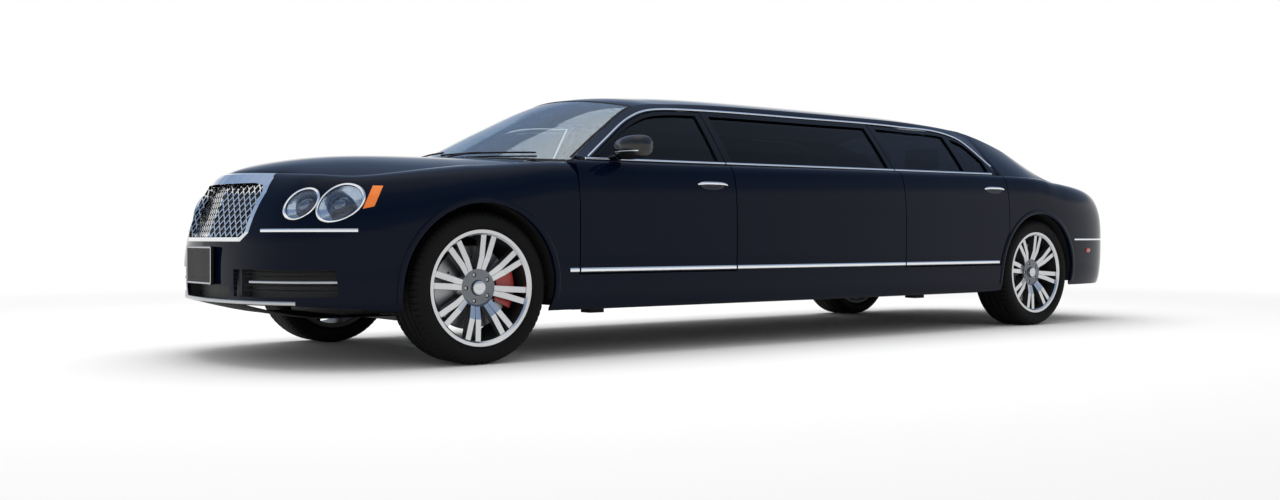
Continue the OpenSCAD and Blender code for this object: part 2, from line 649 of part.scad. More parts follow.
// Boot lid: deck and tail face, hinged at its front corners
lid_s0 = 2.185;
lid_rise = 22;
function lid_mid(p) =
    let (b = body(REAR, 3, 1), z = col(TOP, rear_screen_base, 2) + col(TOP, rear_screen_base, 3))
    [lerp(px(rear_screen_base + 142), b[0], p), 0, lerp(z - 14, b[2], p) + lid_rise * 4 * p * (1 - p)];
function lid_soft(p, k) = spread(lid_mid(p), rim_in(REAR, lerp(lid_s0, tail_s0, p), shut_gap), k);
function lid_at(p, k) =
    let (e = rim_in(REAR, 3 - k * (3 - tail_s0), lerp(-4, shut_gap, pow(abs(k), 8))))
    lid_soft(p, k) + (e - lid_soft(1, k)) * pow(p, 3);
lid_pt = lid_at(0, 0.8);
lid_axis = [lid_pt[0] + lug_r, lid_pt[2] - lug_r];
lid_hinge_y = lid_pt[1] - lug_w / 2;
module boot_lid() {
    color("midnightblue") difference() {
        union() {
            lid_sheet(function(p, k) lid_at(p, k), 8, 16);
            intersection() {
                skin_panel(REAR, steps(2.5, 3.5, 16), function(s) rear_bumper_top + shut_gap, function(s) 2000, 7,
                    skin_t);
                block([x_tail - 50, -lid_y, 0], [x_ra - 500, lid_y, cant_z]);
            }
            both_sides() hinge_lug(lid_axis, lid_hinge_y, -1);
        }
        both_sides() hinge_bore(lid_axis, lid_hinge_y);
    }
}

// Doors: one block as thick as the whole door, hollowed by its window
door_in = 42;
door_taper = 30;
function door_top(q) = max(belt(q) + 4, window_top(q) - shut_gap);
function inner_top(q) = max(belt(q) + 4, min(window_top(q), window_top(q + 40)) - shut_gap);
function wall_pt(q, j, nl, nu, z0, ztop) =
    j <= nl ? body(CABIN, s_of(q), lerp(v_of(CABIN, s_of(q), z0), 1, j / nl))
    : let (z = lerp(belt(q) + 2, ztop, (j - nl - 1) / (nu - 1))) [px(q), side_y(q, z), z];
function wall_in_pt(q, qi, j, nl, nu, z0, ztop) =
    let (p = wall_pt(q, j, nl, nu, z0, ztop))
    [px(qi), j <= nl ? trim_y : side_y(q, p[2]) - door_in, p[2]];
module wall_block(q0, q1, z0, top, top_in, taper) {
    nl = 6;
    nu = 4;
    qs = concat([q0], inside(q_frame, q0 + 5, q1 - 5), [q1]);
    function qi(q) = min(q, q1 - taper * (q - q0) / (q1 - q0));
    sheet([for (q = qs) [for (j = [0:nl + nu]) wall_pt(q, j, nl, nu, z0, top(q))]],
        [for (q = qs) [for (j = [0:nl + nu]) wall_in_pt(q, qi(q), j, nl, nu, z0, top_in(q))]]);
}
// Window openings: columns are front and rear edge behind the front axle
window_low = 24;
window_frame = 28;
function window_outline(q0, q1, inset) =
    let (qs = steps(q0 + inset, q1 - inset, 10))
    concat([for (q = qs) [px(q), belt(q) + window_low + inset]],
        [for (i = [10:-1:0]) let (q = qs[i]) [px(q), max(belt(q) + window_low + 8,
            window_top(q) - window_frame) - inset]]);
module window_prism(w, inset) {
    translate([0, hw, 0]) rotate([90, 0, 0]) linear_extrude(hw - 300) polygon(window_outline(w[0], w[1], inset));
}
FRONT_WINDOWS = [[door_start + 170, door1_rear - 50]];
STRETCH_WINDOWS = [[door1_rear + 50, door2_front - 50]];
REAR_WINDOWS = [[door2_front + 50, wheelbase - 700], [wheelbase - 645, wheelbase - 440]];
glass_in = 14;
module glass_sheet(w) {
    qs = steps(w[0] - 20, w[1] + 20, 4);
    function zs(q) = steps(belt(q) + 5, cant_z - 20, 4);
    sheet([for (q = qs) [for (z = zs(q)) [px(q), side_y(q, z) - glass_in, z]]],
        [for (q = qs) [for (z = zs(q)) [px(q), side_y(q, z) - glass_in - glass_t, z]]]);
}
module panes(windows) {
    color("slategray", 0.6) for (w = windows) intersection() {
        glass_sheet(w);
        window_prism(w, seam);
    }
}
module hinge_pockets(q) {
    x = px(q + hinge_back);
    for (z = hinge_zs)
        block([x - 15, trim_y - 1, z - hinge_pocket / 2], [px(q) + 1, hw - hinge_in + 15, z + hinge_pocket / 2]);
}
module hinge_pins(q) {
    for (z = hinge_zs) translate([px(q + hinge_back), hw - hinge_in, z - hinge_pocket / 2 - 12])
        cylinder(r = hinge_pin_r, h = hinge_pocket + 24);
}
module handle(q, z) {
    y = body_z(CABIN, s_of(q), z)[1];
    block([px(q + 105), y - 8, z - 10], [px(q - 105), y + 14, z + 10]);
}
handle_front = 1420;
handle_rear = wheelbase - 500;
module front_door() {
    union() {
        difference() {
            wall_block(door1_front, door1_rear - shut_gap, door_z, function(q) door_top(q),
                function(q) door_top(q), door_taper);
            for (w = FRONT_WINDOWS) window_prism(w, 0);
            hinge_pockets(door1_front);
        }
        hinge_pins(door1_front);
        handle(handle_front, belt_z - 110);
    }
}
module rear_door() {
    union() {
        difference() {
            wall_block(door2_front, door2_rear, door_z, function(q) door_top(q), function(q) inner_top(q),
                door_taper);
            for (w = REAR_WINDOWS) window_prism(w, 0);
            hinge_pockets(door2_front);
            translate([x_ra, trim_y - 2, wheel_r]) rotate([-90, 0, 0])
                cylinder(r1 = arch_r + arch_lip + 50, r2 = arch_r + arch_lip + shut_gap, h = hw - trim_y + 4);
        }
        hinge_pins(door2_front);
        handle(handle_rear, belt_z - 75);
    }
}
module front_door_left() { color("midnightblue") front_door(); }
module front_door_right() { color("midnightblue") side(false) front_door(); }
module rear_door_left() { color("midnightblue") rear_door(); }
module rear_door_right() { color("midnightblue") side(false) rear_door(); }
module front_glass_left() { panes(FRONT_WINDOWS); }
module front_glass_right() { side(false) panes(FRONT_WINDOWS); }
module rear_glass_left() { panes(REAR_WINDOWS); }
module rear_glass_right() { side(false) panes(REAR_WINDOWS); }

// Stretch panels between the doors, with their long fixed glass
module stretch_panels() {
    color("midnightblue") both_sides() union() {
        difference() {
            wall_block(door1_rear, door2_front - shut_gap, door_z - shut_gap + seam,
                function(q) window_top(q) - 2 * seam, function(q) window_top(q) - 2 * seam, 0);
            for (w = STRETCH_WINDOWS) window_prism(w, 0);
        }
        block([px(door2_front) + shut_gap + 1, trim_y - 50, hinge_zs[0] - 50],
            [px(door2_front) + shut_gap + 45, trim_y + 5, hinge_zs[1] + 50]);
        hinge_arms(door2_front);
    }
}
module stretch_glass() { both_sides() panes(STRETCH_WINDOWS); }

// Door mirrors
mirror_q = 818;
mirror_y = hw + 45;
mirror_z = belt_z + 66;
module mirror_body() {
    color("black") union() {
        foot_y = plan_y(mirror_q) - belt_in - belt_ledge + 3;
        hull() {
            block([px(mirror_q) - 40, foot_y, belt(mirror_q + 60) + 1.2 + seam],
                [px(mirror_q) + 40, foot_y + 30, belt(mirror_q + 60) + 22]);
            translate([px(mirror_q), mirror_y - 70, mirror_z - 30]) sphere(r = 18, $fn = 10);
        }
        hull() for (c = [[-6, -82, -2, 44], [8, 0, 0, 59], [-14, 80, 4, 52]])
            translate([px(mirror_q) + c[0], mirror_y + c[1], mirror_z + c[2]]) scale([1, 0.6, 1])
                sphere(r = c[3], $fn = 16);
    }
}
module mirror_left() { mirror_body(); }
module mirror_right() { side(false) mirror_body(); }

// Wheels, turning about y
bead_r = rim_d / 2 - 10;
flange = 11;
hub_back = 45;
disc_z = [-15, 20];
module wheel_place(x, left) {
    side(left) translate([x, wheel_y, wheel_r]) rotate([-90, 0, 0]) children();
}
module tyre() {
    r = wheel_r;
    b = bead_r + seam;
    f = rim_d / 2 + seam;
    h = tyre_w / 2;
    half = [[b, rim_w / 2 - flange - seam], [f, rim_w / 2 - flange - seam], [f, h - 15], [f + 22, h - 1],
        [f + 46, h], [r - 18, h - 9], [r - 5, h - 25], [r, h - 46]];
    color("black") rotate_extrude($fn = 72)
        polygon(concat([for (p = half) p], [for (i = [len(half) - 1:-1:0]) [half[i][0], -half[i][1]]]));
}
spoke_face = 112;
hub_face = 86;
hub_r = 90;
lug_circle = 65;
spoke_turn = -10;
module rim() {
    w = rim_w / 2;
    inner = bead_r - 14;
    color("silver") {
        difference() {
            union() {
                rotate_extrude($fn = 72) polygon([[inner, -w + 4], [inner + 4, -w], [rim_d / 2, -w],
                    [rim_d / 2, -w + flange], [bead_r, -w + flange], [bead_r, w - flange], [rim_d / 2, w - flange],
                    [rim_d / 2, w], [inner + 8, w], [inner, w - 8]]);
                intersection() {
                    translate([0, 0, hub_back - 5]) linear_extrude(120) spoke_plan(inner + 6);
                    rotate_extrude($fn = 72) polygon([[0, hub_back], [hub_r - 2, hub_back],
                        [inner + 10, spoke_face - 34], [inner + 10, spoke_face], [150, spoke_face - 8],
                        [100, hub_face + 2], [hub_r - 10, hub_face - 4], [38, hub_face - 2], [34, hub_face + 8],
                        [0, hub_face + 10]]);
                }
            }
            translate([0, 0, hub_back - 10]) cylinder(r = stub_r + pin_play, h = 30);
            for (i = [0:4]) rotate(i * 72) translate([lug_circle, 0, hub_face - 22]) cylinder(r = 11, h = 40);
        }
        brake_disc();
    }
}
module spoke_plan(reach) {
    circle(r = hub_r);
    for (i = [0:twin_spokes - 1]) rotate(spoke_turn + i * 360 / twin_spokes) for (m = [-1, 1])
        polygon([[40, m], [40, m * 19], [reach, m * 43], [reach, m * 15], [135, m]]);
}
module brake_disc() {
    difference() {
        union() {
            translate([0, 0, disc_z[0]]) cylinder(r = disc_d / 2, h = disc_z[1] - disc_z[0]);
            cylinder(r = 84, h = hub_back - seam);
        }
        translate([0, 0, disc_z[0] - 1]) cylinder(r = stub_r + pin_play, h = 80);
        translate([0, 0, disc_z[0] - 1]) cylinder(r = 74, h = hub_back - 10 - disc_z[0]);
        for (i = [0:11]) rotate(i * 30) translate([disc_d * 0.36, 0, disc_z[0] - 1]) cylinder(r = 6, h = 60);
    }
}
module tyre_front_left() { wheel_place(x_fa, true) tyre(); }
module tyre_front_right() { wheel_place(x_fa, false) tyre(); }
module tyre_rear_left() { wheel_place(x_ra, true) tyre(); }
module tyre_rear_right() { wheel_place(x_ra, false) tyre(); }
module rim_front_left() { wheel_place(x_fa, true) rim(); }
module rim_front_right() { wheel_place(x_fa, false) rim(); }
module rim_rear_left() { wheel_place(x_ra, true) rim(); }
module rim_rear_right() { wheel_place(x_ra, false) rim(); }

// Stub axle, upright and brake caliper, drawn in the wheel's own frame with z outwards
king_in = 68;
king_r = 14;
king_h = 135;
caliper_in = -46;
module upright() {
    rotate([90, 0, 0]) union() {
        block([-32, -king_in - 24, -king_h], [32, caliper_in - seam, king_h]);
        block([-disc_d / 2 - 12, -king_in - 8, -42], [0, caliper_in - seam, 42]);
        for (m = [0, 1]) mirror([0, 0, m]) translate([0, -king_in, king_h]) cylinder(r = king_r, h = 50);
        bar_y(0, caliper_in - 10, hub_back + 18, 0, stub_r);
    }
}
module caliper() {
    r = disc_d / 2;
    d = disc_d * 0.185;
    color("firebrick") rotate(152) rotate_extrude(angle = 56, $fn = 72) polygon([
        [r - d, caliper_in], [r + 22, caliper_in], [r + 22, disc_z[1] + 26], [r - d, disc_z[1] + 26],
        [r - d, disc_z[1] + 3], [r + 4, disc_z[1] + 3], [r + 4, disc_z[0] - 3], [r - d, disc_z[0] - 3]]);
}
module knuckle_left() { color("gray") wheel_place(x_fa, true) upright(); }
module knuckle_right() { color("gray") wheel_place(x_fa, false) upright(); }
module caliper_left() { wheel_place(x_fa, true) caliper(); }
module caliper_right() { wheel_place(x_fa, false) caliper(); }

// Front suspension: subframe, towers and wishbones that hold the knuckles' pins
king_y = wheel_y - king_in;
arm_t = 34;
module wishbone(z, y0, spread) {
    difference() {
        union() {
            translate([x_fa, king_y, z]) cylinder(r = 26, h = arm_t);
            translate([x_fa, 0, z]) linear_extrude(arm_t) for (m = [-1, 1])
                polygon([[m * 4, king_y + 6], [m * 24, king_y], [m * spread, y0], [m * (spread - 46), y0]]);
        }
        translate([x_fa, king_y, z - 1]) cylinder(r = king_r + pin_play, h = arm_t + 2);
    }
}
module front_suspension() {
    low_z = wheel_r - king_h - 8 - arm_t;
    high_z = wheel_r + king_h + 8;
    color("dimgray") {
        both_sides() union() {
            wishbone(high_z, rail_y0, 110);
            block([x_fa - 112, rail_y0, front_rail_z[1] + seam], [x_fa + 112, rail_y1, high_z + arm_t]);
        }
        union() {
            both_sides() wishbone(low_z, 260, 150);
            block([x_fa - 152, -rail_y1, low_z], [x_fa + 152, rail_y1, low_z + arm_t]);
            both_sides() block([x_fa - 60, rail_y0, low_z], [x_fa + 60, rail_y1, front_rail_z[0] - seam]);
        }
    }
}

// Engine, one plain block on its subframe
engine_y = 310;
engine_top = 760;
module engine_block() {
    color("darkgray") {
        z0 = wheel_r - king_h - 8 + seam;
        block([x_fa - 250, -engine_y, z0], [x_nose - 580, engine_y, engine_top]);
    }
}

// Rear axle: subframe, final drive, half shafts, hub carriers with stubs and calipers
module rear_axle() {
    y0 = wheel_y + caliper_in;
    color("dimgray") union() {
        bar_y(x_ra, -y0 + 20, y0 - 20, wheel_r, 24);
        bar_y(x_ra, -150, 150, wheel_r, 100);
        both_sides() {
            block([x_ra - 140, rail_y0 + 80, wheel_r - 40], [x_ra + 140, rail_y1 + 80, rear_rail_z - seam]);
            block([x_ra - 60, rail_y1 + 40, wheel_r - 60], [x_ra + 60, y0 - 20, wheel_r - 34]);
            block([x_ra - 36, y0 - 46, wheel_r - 110], [x_ra + 36, y0 - 4, wheel_r + 110]);
            bar_y(x_ra, y0 - 10, wheel_y + hub_back + 18, wheel_r, stub_r);
            block([x_ra, y0 - 30, wheel_r - 40], [x_ra + disc_d / 2 + 12, y0 + 3, wheel_r + 40]);
            translate([x_ra, wheel_y, wheel_r]) rotate([-90, 0, 0]) rotate(180) caliper();
        }
    }
}

// Exhaust: silencers with tail pipes
pipe_y = hw - 430;
pipe_z = sill_z + 90;
pipe_r = 42;
module exhaust() {
    color("silver") both_sides() union() {
        translate([x_tail + 60, pipe_y, pipe_z]) rotate([0, 90, 0]) difference() {
            cylinder(r = pipe_r, h = 330);
            translate([0, 0, -1]) cylinder(r = pipe_r - 4, h = 120);
        }
        translate([x_tail + 380, pipe_y - 40, pipe_z]) rotate([0, 90, 0]) cylinder(r = 66, h = 420);
        block([x_tail + 480, pipe_y - 60, pipe_z], [x_tail + 520, pipe_y - 30, rear_rail_z - seam]);
    }
}

// Wheel-arch liners
liner_r = arch_r + 8;
module liner(x, y0) {
    translate([x, y0, wheel_r]) rotate([90, 0, 0]) mirror([0, 0, 1]) rotate_extrude(angle = 180, $fn = 72)
        translate([liner_r, 0]) square([5, hw - 85 - y0]);
}
module wheel_liners() {
    color("black") both_sides() {
        liner(x_fa, rail_y1 + seam);
        liner(x_ra, rear_floor_y + seam);
    }
}

// Front plate holder, blank, with four screw holes
plate_z = 470;
plate_w = 340;
plate_h = 180;
plate_hole_w = 177.8;
plate_hole_h = 120.65;
module plate_holder() {
    x = x_nose + seam;
    color("black") difference() {
        block([x, -plate_w / 2, plate_z - plate_h / 2], [x + plate_t, plate_w / 2, plate_z + plate_h / 2]);
        for (y = [-1, 1]) for (z = [-1, 1]) translate([x - 1, y * plate_hole_w / 2, plate_z + z * plate_hole_h / 2])
            rotate([0, 90, 0]) cylinder(r = 3.5, h = 20);
    }
}

// Cabin: dashboard, steering wheel, seats and partition
module profile_y(y0, y1, pts) {
    translate([0, y1, 0]) rotate([90, 0, 0]) linear_extrude(y1 - y0) polygon(pts);
}
dash_x = px(door_start + 60);
function dash_profile(e) = [[px(fire_q) - seam, belt_z - 330], [px(fire_q) - seam, belt_z - 110],
    [dash_x - 60, belt_z - 46], [dash_x - 290, belt_z - 60], [dash_x - 340 - e, belt_z - 110],
    [dash_x - 330 - e, belt_z - 190], [dash_x - 250 - e, belt_z - 330]];
module dashboard() {
    w = post_y0 - 30;
    color("saddlebrown") profile_y(-w, w, dash_profile(0));
}
wheel_tilt = 24;
driver_y = 370;
module steering_wheel() {
    color("black") difference() {
        translate([dash_x - 430, driver_y, belt_z - 120]) rotate([0, -90 + wheel_tilt, 0]) union() {
            rotate_extrude($fn = 64) translate([178, 0]) circle(r = 14, $fn = 24);
            for (a = [0, 130, 230]) rotate(a) translate([0, -14, -8]) cube([175, 28, 14]);
            translate([0, 0, -24]) cylinder(r = 56, h = 34);
            translate([0, 0, -150]) cylinder(r = 24, h = 140);
        }
        profile_y(driver_y - 60, driver_y + 60, dash_profile(seam));
    }
}
function seat_profile(x, z) = [[x, z], [x, z + 250], [x + 20, z + 330], [x + 440, z + 350], [x + 500, z + 320],
    [x + 500, z + 240], [x + 440, z + 210], [x + 430, z]];
function back_profile(x, z) = [[x - 30, z], [x + 90, z], [x - 20, z + 560], [x - 45, z + 600], [x - 110, z + 590],
    [x - 130, z + 540]];
seat_q = door_start + 1150;
seat_y = [140, hw - 345];
module seat(q, y0, y1) {
    translate([px(q), 0, floor_top + seam]) union() {
        profile_y(y0, y1, seat_profile(0, 0));
        profile_y(y0 + 10, y1 - 10, back_profile(-20, 200));
    }
}
module front_seats() {
    color("tan") both_sides() seat(seat_q, seat_y[0], seat_y[1]);
}
module passenger_seats() {
    t = tunnel_w / 2 + floor_t / 2 + 1;
    color("tan") difference() {
        seat(kick_q - 170, -seat_y[1], seat_y[1]);
        block([px(kick_q), -t, 0], [px(part_q), t, floor_top + tunnel_h + seam]);
    }
}
part_back = 270;
part_q = door1_rear + part_back;
part_t = 40;
module partition() {
    z0 = floor_top + tunnel_h + seam;
    z1 = cant_z - 60;
    w0 = trim_y - 1;
    w1 = side_y(part_q, z1) - door_in - 4;
    color("black") translate([px(part_q) - part_t, 0, 0]) rotate([90, 0, 90]) linear_extrude(part_t) difference() {
        polygon([[-w0, z0], [w0, z0], [w0, belt_z - 10], [w1, z1], [-w1, z1], [-w0, belt_z - 10]]);
        polygon([[-w0 + 150, belt_z], [w0 - 150, belt_z], [w1 - 80, z1 - 60], [80 - w1, z1 - 60]]);
    }
}

underbody();
sills();
front_bumper();
front_wings();
grille_surround();
grille_mesh();
headlamps();
lamp_lenses();
side_markers();
cowl();
side_frames();
roof_panel();
screens();
stretch_panels();
stretch_glass();
rear_bumper();
tail_lamps();
dashboard();
steering_wheel();
front_seats();
partition();
passenger_seats();
engine_block();
front_suspension();
rear_axle();
exhaust();
wheel_liners();
plate_holder();
bonnet();
boot_lid();
front_door_left();
front_door_right();
rear_door_left();
rear_door_right();
front_glass_left();
front_glass_right();
rear_glass_left();
rear_glass_right();
mirror_left();
mirror_right();
knuckle_left();
knuckle_right();
caliper_left();
caliper_right();
tyre_front_left();
tyre_front_right();
tyre_rear_left();
tyre_rear_right();
rim_front_left();
rim_front_right();
rim_rear_left();
rim_rear_right();
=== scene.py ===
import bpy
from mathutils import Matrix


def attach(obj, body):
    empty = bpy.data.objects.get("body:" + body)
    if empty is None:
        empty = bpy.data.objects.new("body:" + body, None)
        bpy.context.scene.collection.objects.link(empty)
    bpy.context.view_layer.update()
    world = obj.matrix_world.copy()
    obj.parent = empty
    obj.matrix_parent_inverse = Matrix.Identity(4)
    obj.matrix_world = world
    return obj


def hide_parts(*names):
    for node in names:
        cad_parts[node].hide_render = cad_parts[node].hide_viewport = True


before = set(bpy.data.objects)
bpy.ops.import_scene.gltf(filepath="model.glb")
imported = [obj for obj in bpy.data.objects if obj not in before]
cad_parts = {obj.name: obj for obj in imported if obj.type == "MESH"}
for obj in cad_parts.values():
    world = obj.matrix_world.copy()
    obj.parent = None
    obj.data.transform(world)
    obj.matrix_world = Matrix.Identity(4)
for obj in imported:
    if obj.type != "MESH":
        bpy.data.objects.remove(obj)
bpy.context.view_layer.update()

import math

import bmesh
import bpy
import numpy as np
from mathutils import Matrix, Vector
from mathutils.bvhtree import BVHTree


# The studio: a wide pale floor that keeps the car's shadow, white all round with a cool sky
# above, one broad soft lamp overhead, and a level camera off the car's left front corner.
class Tone:
    """A value in a shader: arithmetic on it adds Math nodes to its tree."""

    def __init__(self, tree, socket=None):
        self.tree, self.socket = tree, socket

    def node(self, kind, settings=None, sockets=None, out=0):
        made = self.tree.nodes.new(kind)
        for name, value in (settings or {}).items():
            if name == "stops":
                ramp = made.color_ramp.elements
                for place, colour in value[1:-1]:
                    ramp.new(place).color = (*colour, 1)
                ramp[0].position, ramp[0].color = value[0][0], (*value[0][1], 1)
                ramp[-1].position, ramp[-1].color = value[-1][0], (*value[-1][1], 1)
            else:
                setattr(made, name, value)
        for name, value in (sockets or {}).items():
            if isinstance(value, Tone):
                self.tree.links.new(value.socket, made.inputs[name])
            else:
                made.inputs[name].default_value = value
        return Tone(self.tree, made.outputs[out])

    def maths(self, operation, a, b):
        return self.node("ShaderNodeMath", {"operation": operation}, {0: a, 1: b})

    def __add__(self, other):
        return self.maths("ADD", self, other)

    def __sub__(self, other):
        return self.maths("SUBTRACT", self, other)

    def __rsub__(self, other):
        return self.maths("SUBTRACT", other, self)

    def __mul__(self, other):
        return self.maths("MULTIPLY", self, other)

    __radd__, __rmul__ = __add__, __mul__

    def between(self, low, high):
        return self.node("ShaderNodeMapRange", {"clamp": True}, {"Value": self, "From Min": low, "From Max": high})

    def blend(self, first, second):
        ends = [c if isinstance(c, Tone) else (*c, 1) for c in (first, second)]
        return self.node("ShaderNodeMix", {"data_type": "RGBA"}, {0: self, 6: ends[0], 7: ends[1]}, out=2)

    def feed(self, shader, socket):
        self.tree.links.new(self.socket, shader.inputs[socket])


def seen_rays(tone):
    rays = [tone.node("ShaderNodeLightPath", out=f"Is {kind} Ray") for kind in ("Camera", "Glossy", "Transmission")]
    return tone.maths("MINIMUM", rays[0] + rays[1] + rays[2], 1)


scene = bpy.context.scene
scene.view_settings.view_transform = "Standard"
scene.world = bpy.data.worlds.new("studio")
scene.world.use_nodes = True
sky = Tone(scene.world.node_tree)
sky_shader = scene.world.node_tree.nodes["Background"]
height = sky.node("ShaderNodeSeparateXYZ", None, {0: sky.node("ShaderNodeTexCoord")}, out=2)
dome = sky.node("ShaderNodeValToRGB", {"stops": [
    (0, (1, 1, 1)), (0.19, (1, 1, 1)), (0.26, (0.48, 0.57, 0.72)), (0.5, (0.26, 0.37, 0.58)),
    (0.8, (0.44, 0.54, 0.72)), (0.93, (0.94, 0.97, 1)), (1, (1, 1, 1))]}, {0: height})
room_light = (0.78, 0.78, 0.78)
seen_rays(sky).blend(room_light, dome).feed(sky_shader, "Color")

reach = 40
floor_mesh = bpy.data.meshes.new("floor")
floor_mesh.from_pydata([(-reach, -reach, 0), (reach, -reach, 0), (reach, reach, 0), (-reach, reach, 0)],
                       [], [(0, 1, 2, 3)])
floor = bpy.data.objects.new("floor", floor_mesh)
scene.collection.objects.link(floor)
floor_stuff = bpy.data.materials.new("pale_floor")
floor_stuff.use_nodes = True
ground = Tone(floor_stuff.node_tree)
matt = ground.node("ShaderNodeBsdfDiffuse", None, {"Color": (0.86, 0.86, 0.86, 1)})
glow = ground.node("ShaderNodeEmission", None, {"Color": (1, 1, 1, 1), "Strength": 1})
floor_spot = ground.node("ShaderNodeTexCoord", out="Object")
away = ground.node("ShaderNodeVectorMath", {"operation": "LENGTH"}, {0: floor_spot}, out=1)
ground.node("ShaderNodeMixShader", None, {0: away.between(4.5, 9) * seen_rays(ground), 1: matt, 2: glow}).feed(
    floor_stuff.node_tree.nodes["Material Output"], "Surface")
floor_mesh.materials.append(floor_stuff)

lamp_data = bpy.data.lights.new("overhead", "AREA")
lamp_data.shape, lamp_data.size, lamp_data.size_y, lamp_data.energy = "RECTANGLE", 9, 6, 400
lamp = bpy.data.objects.new("overhead", lamp_data)
lamp.location = (0.5, -0.9, 6.5)
lamp.visible_glossy = False
scene.collection.objects.link(lamp)

camera_data = bpy.data.cameras.new("camera")
camera_data.sensor_width, camera_data.lens, camera_data.shift_y = 36, 35.2, -0.0092
camera = bpy.data.objects.new("camera", camera_data)
camera.location = (5.368, 6.043, 0.598)
camera.rotation_euler = Vector((-0.617, -0.787, 0)).to_track_quat("-Z", "Y").to_euler()
scene.collection.objects.link(camera)
scene.camera = camera


# Underbody, rails, suspension, axle and engine: pressed and cast steel under a sprayed
# dark sealer, with bare machined and cast faces where the running gear shows.
def coating(name, colours, rough, grain, metal=0.0, bump=0.15, swing=0.12, depth=0.0004, **fixed):
    """A finish whose colour, gloss and surface follow a fine noise of grain cells to a metre."""
    made = bpy.data.materials.new(name)
    made.use_nodes = True
    shader = made.node_tree.nodes["Principled BSDF"]
    shader.inputs["Metallic"].default_value = metal
    for socket, value in fixed.items():
        shader.inputs[socket.replace("_", " ")].default_value = value
    tone = Tone(made.node_tree)
    place = tone.node("ShaderNodeTexCoord", out="Object")
    fine = tone.node("ShaderNodeTexNoise", None, {"Vector": place, "Scale": grain, "Detail": 3.0})
    broad = tone.node("ShaderNodeTexNoise", None, {"Vector": place, "Scale": 4.0, "Detail": 2.0})
    (0.6 * fine + 0.4 * broad).between(0.35, 0.65).blend(*colours).feed(shader, "Base Color")
    (rough + swing * (broad - 0.5) + 0.5 * swing * (fine - 0.5)).feed(shader, "Roughness")
    if bump:
        relief = tone.node("ShaderNodeBump", None, {"Strength": bump, "Distance": depth, "Height": fine})
        relief.feed(shader, "Normal")
    return made


def dress(node, material):
    """Gives a CAD node's object its finish."""
    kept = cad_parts[node]
    kept.data.materials.clear()
    kept.data.materials.append(material)


sealer = coating("sprayed_sealer", [(0.009, 0.009, 0.0095), (0.017, 0.016, 0.015)], 0.85, 260, bump=0.5,
                 depth=0.001, IOR=1.25)
forged = coating("forged_steel", [(0.035, 0.035, 0.037), (0.06, 0.058, 0.056)], 0.5, 180, metal=0.6, bump=0.3)
cast = coating("cast_block", [(0.09, 0.09, 0.094), (0.15, 0.15, 0.15)], 0.55, 420, metal=0.7, bump=0.6, depth=0.001)
pipe_steel = coating("drawn_pipe", [(0.10, 0.10, 0.10), (0.17, 0.16, 0.15)], 0.4, 90, metal=0.9)
for node in ("underbody", "wheel_liners"):
    dress(node, sealer)
for node in ("front_suspension", "rear_axle", "knuckle_left", "knuckle_right"):
    dress(node, forged)
dress("engine_block", cast)
dress("exhaust", pipe_steel)


# Wheels: low rubber tyres with four tread grooves and cut shoulders on bright alloy rims, each
# rim held by five bolts under a plain centre cap, over a drilled disc and a red caliper.
def closed_mesh(name, verts, faces, weld=True):
    """A mesh given in millimetres, its faces turned outwards."""
    mesh = bpy.data.meshes.new(name)
    mesh.from_pydata([(x / 1000, y / 1000, z / 1000) for x, y, z in verts], [], faces)
    work = bmesh.new()
    work.from_mesh(mesh)
    if weld:
        bmesh.ops.remove_doubles(work, verts=work.verts, dist=1e-6)
    bmesh.ops.recalc_face_normals(work, faces=work.faces)
    work.to_mesh(mesh)
    work.free()
    return mesh


def placed(name, mesh, body, replaced=()):
    """A mesh as a piece of the car, riding on a body."""
    made = bpy.data.objects.new(name, mesh)
    scene.collection.objects.link(made)
    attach(made, body)
    if replaced:
        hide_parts(*replaced)
    return made


def piece(name, verts, faces, material, body, slot, replaced=(), smooth=True):
    """A closed piece given in millimetres, in one finish."""
    mesh = closed_mesh(name, verts, faces)
    if smooth:
        mesh.set_sharp_from_angle(angle=math.radians(38))
    mesh.materials.append(material)
    return placed(name, mesh, body, replaced)


def turned(profile, steps, place, cut=lambda i, r, w: r):
    """Points and faces of a closed profile (radius, width) turned about an axle."""
    verts, n = [], len(profile)
    for i in range(steps):
        a = 2 * math.pi * i / steps
        verts += [place(cut(i, r, w) * math.cos(a), w, cut(i, r, w) * math.sin(a)) for r, w in profile]
    faces = [(i * n + j, i * n + (j + 1) % n, (i + 1) % steps * n + (j + 1) % n, (i + 1) % steps * n + j)
             for i in range(steps) for j in range(n)]
    return verts, faces


def gathered(shapes):
    """Points and faces of several shapes as one."""
    verts, faces = [], []
    for points, sides in shapes:
        faces += [tuple(i + len(verts) for i in side) for side in sides]
        verts += points
    return verts, faces


SIDES = (("left", 1), ("right", -1))
front_x, rear_x, wheel_y, wheel_r = 2312, -2098, 817, 363
tyre_rubber = coating("tyre_rubber", [(0.003, 0.003, 0.003), (0.007, 0.0068, 0.0065)], 0.66, 700, bump=0.3, IOR=1.2)
alloy = coating("machined_alloy", [(0.50, 0.51, 0.53), (0.60, 0.605, 0.615)], 0.14, 600, metal=1.0, bump=0.06)
# The hub's dark bluish grey is partly its grey metal, partly painted shade and painted sky reflection in its bowl.
hub_grey_painted_reflection = coating("wheel_hub_grey", [(0.11, 0.12, 0.135), (0.17, 0.18, 0.195)], 0.22, 400, metal=1.0, bump=0.08)
pocket_grey = coating("wheel_pocket_grey", [(0.10, 0.105, 0.11), (0.15, 0.155, 0.16)], 0.35, 400, metal=0.8, bump=0.1)
# The barrel's near-black colour is painted shade inside the wheel, behind the spokes.
barrel_painted_shade = coating("wheel_barrel_grey", [(0.03, 0.03, 0.032), (0.05, 0.05, 0.052)], 0.4, 400, metal=0.6)
disc_steel = coating("disc_steel", [(0.30, 0.30, 0.305), (0.38, 0.38, 0.38)], 0.34, 240, metal=1.0, bump=0.2)
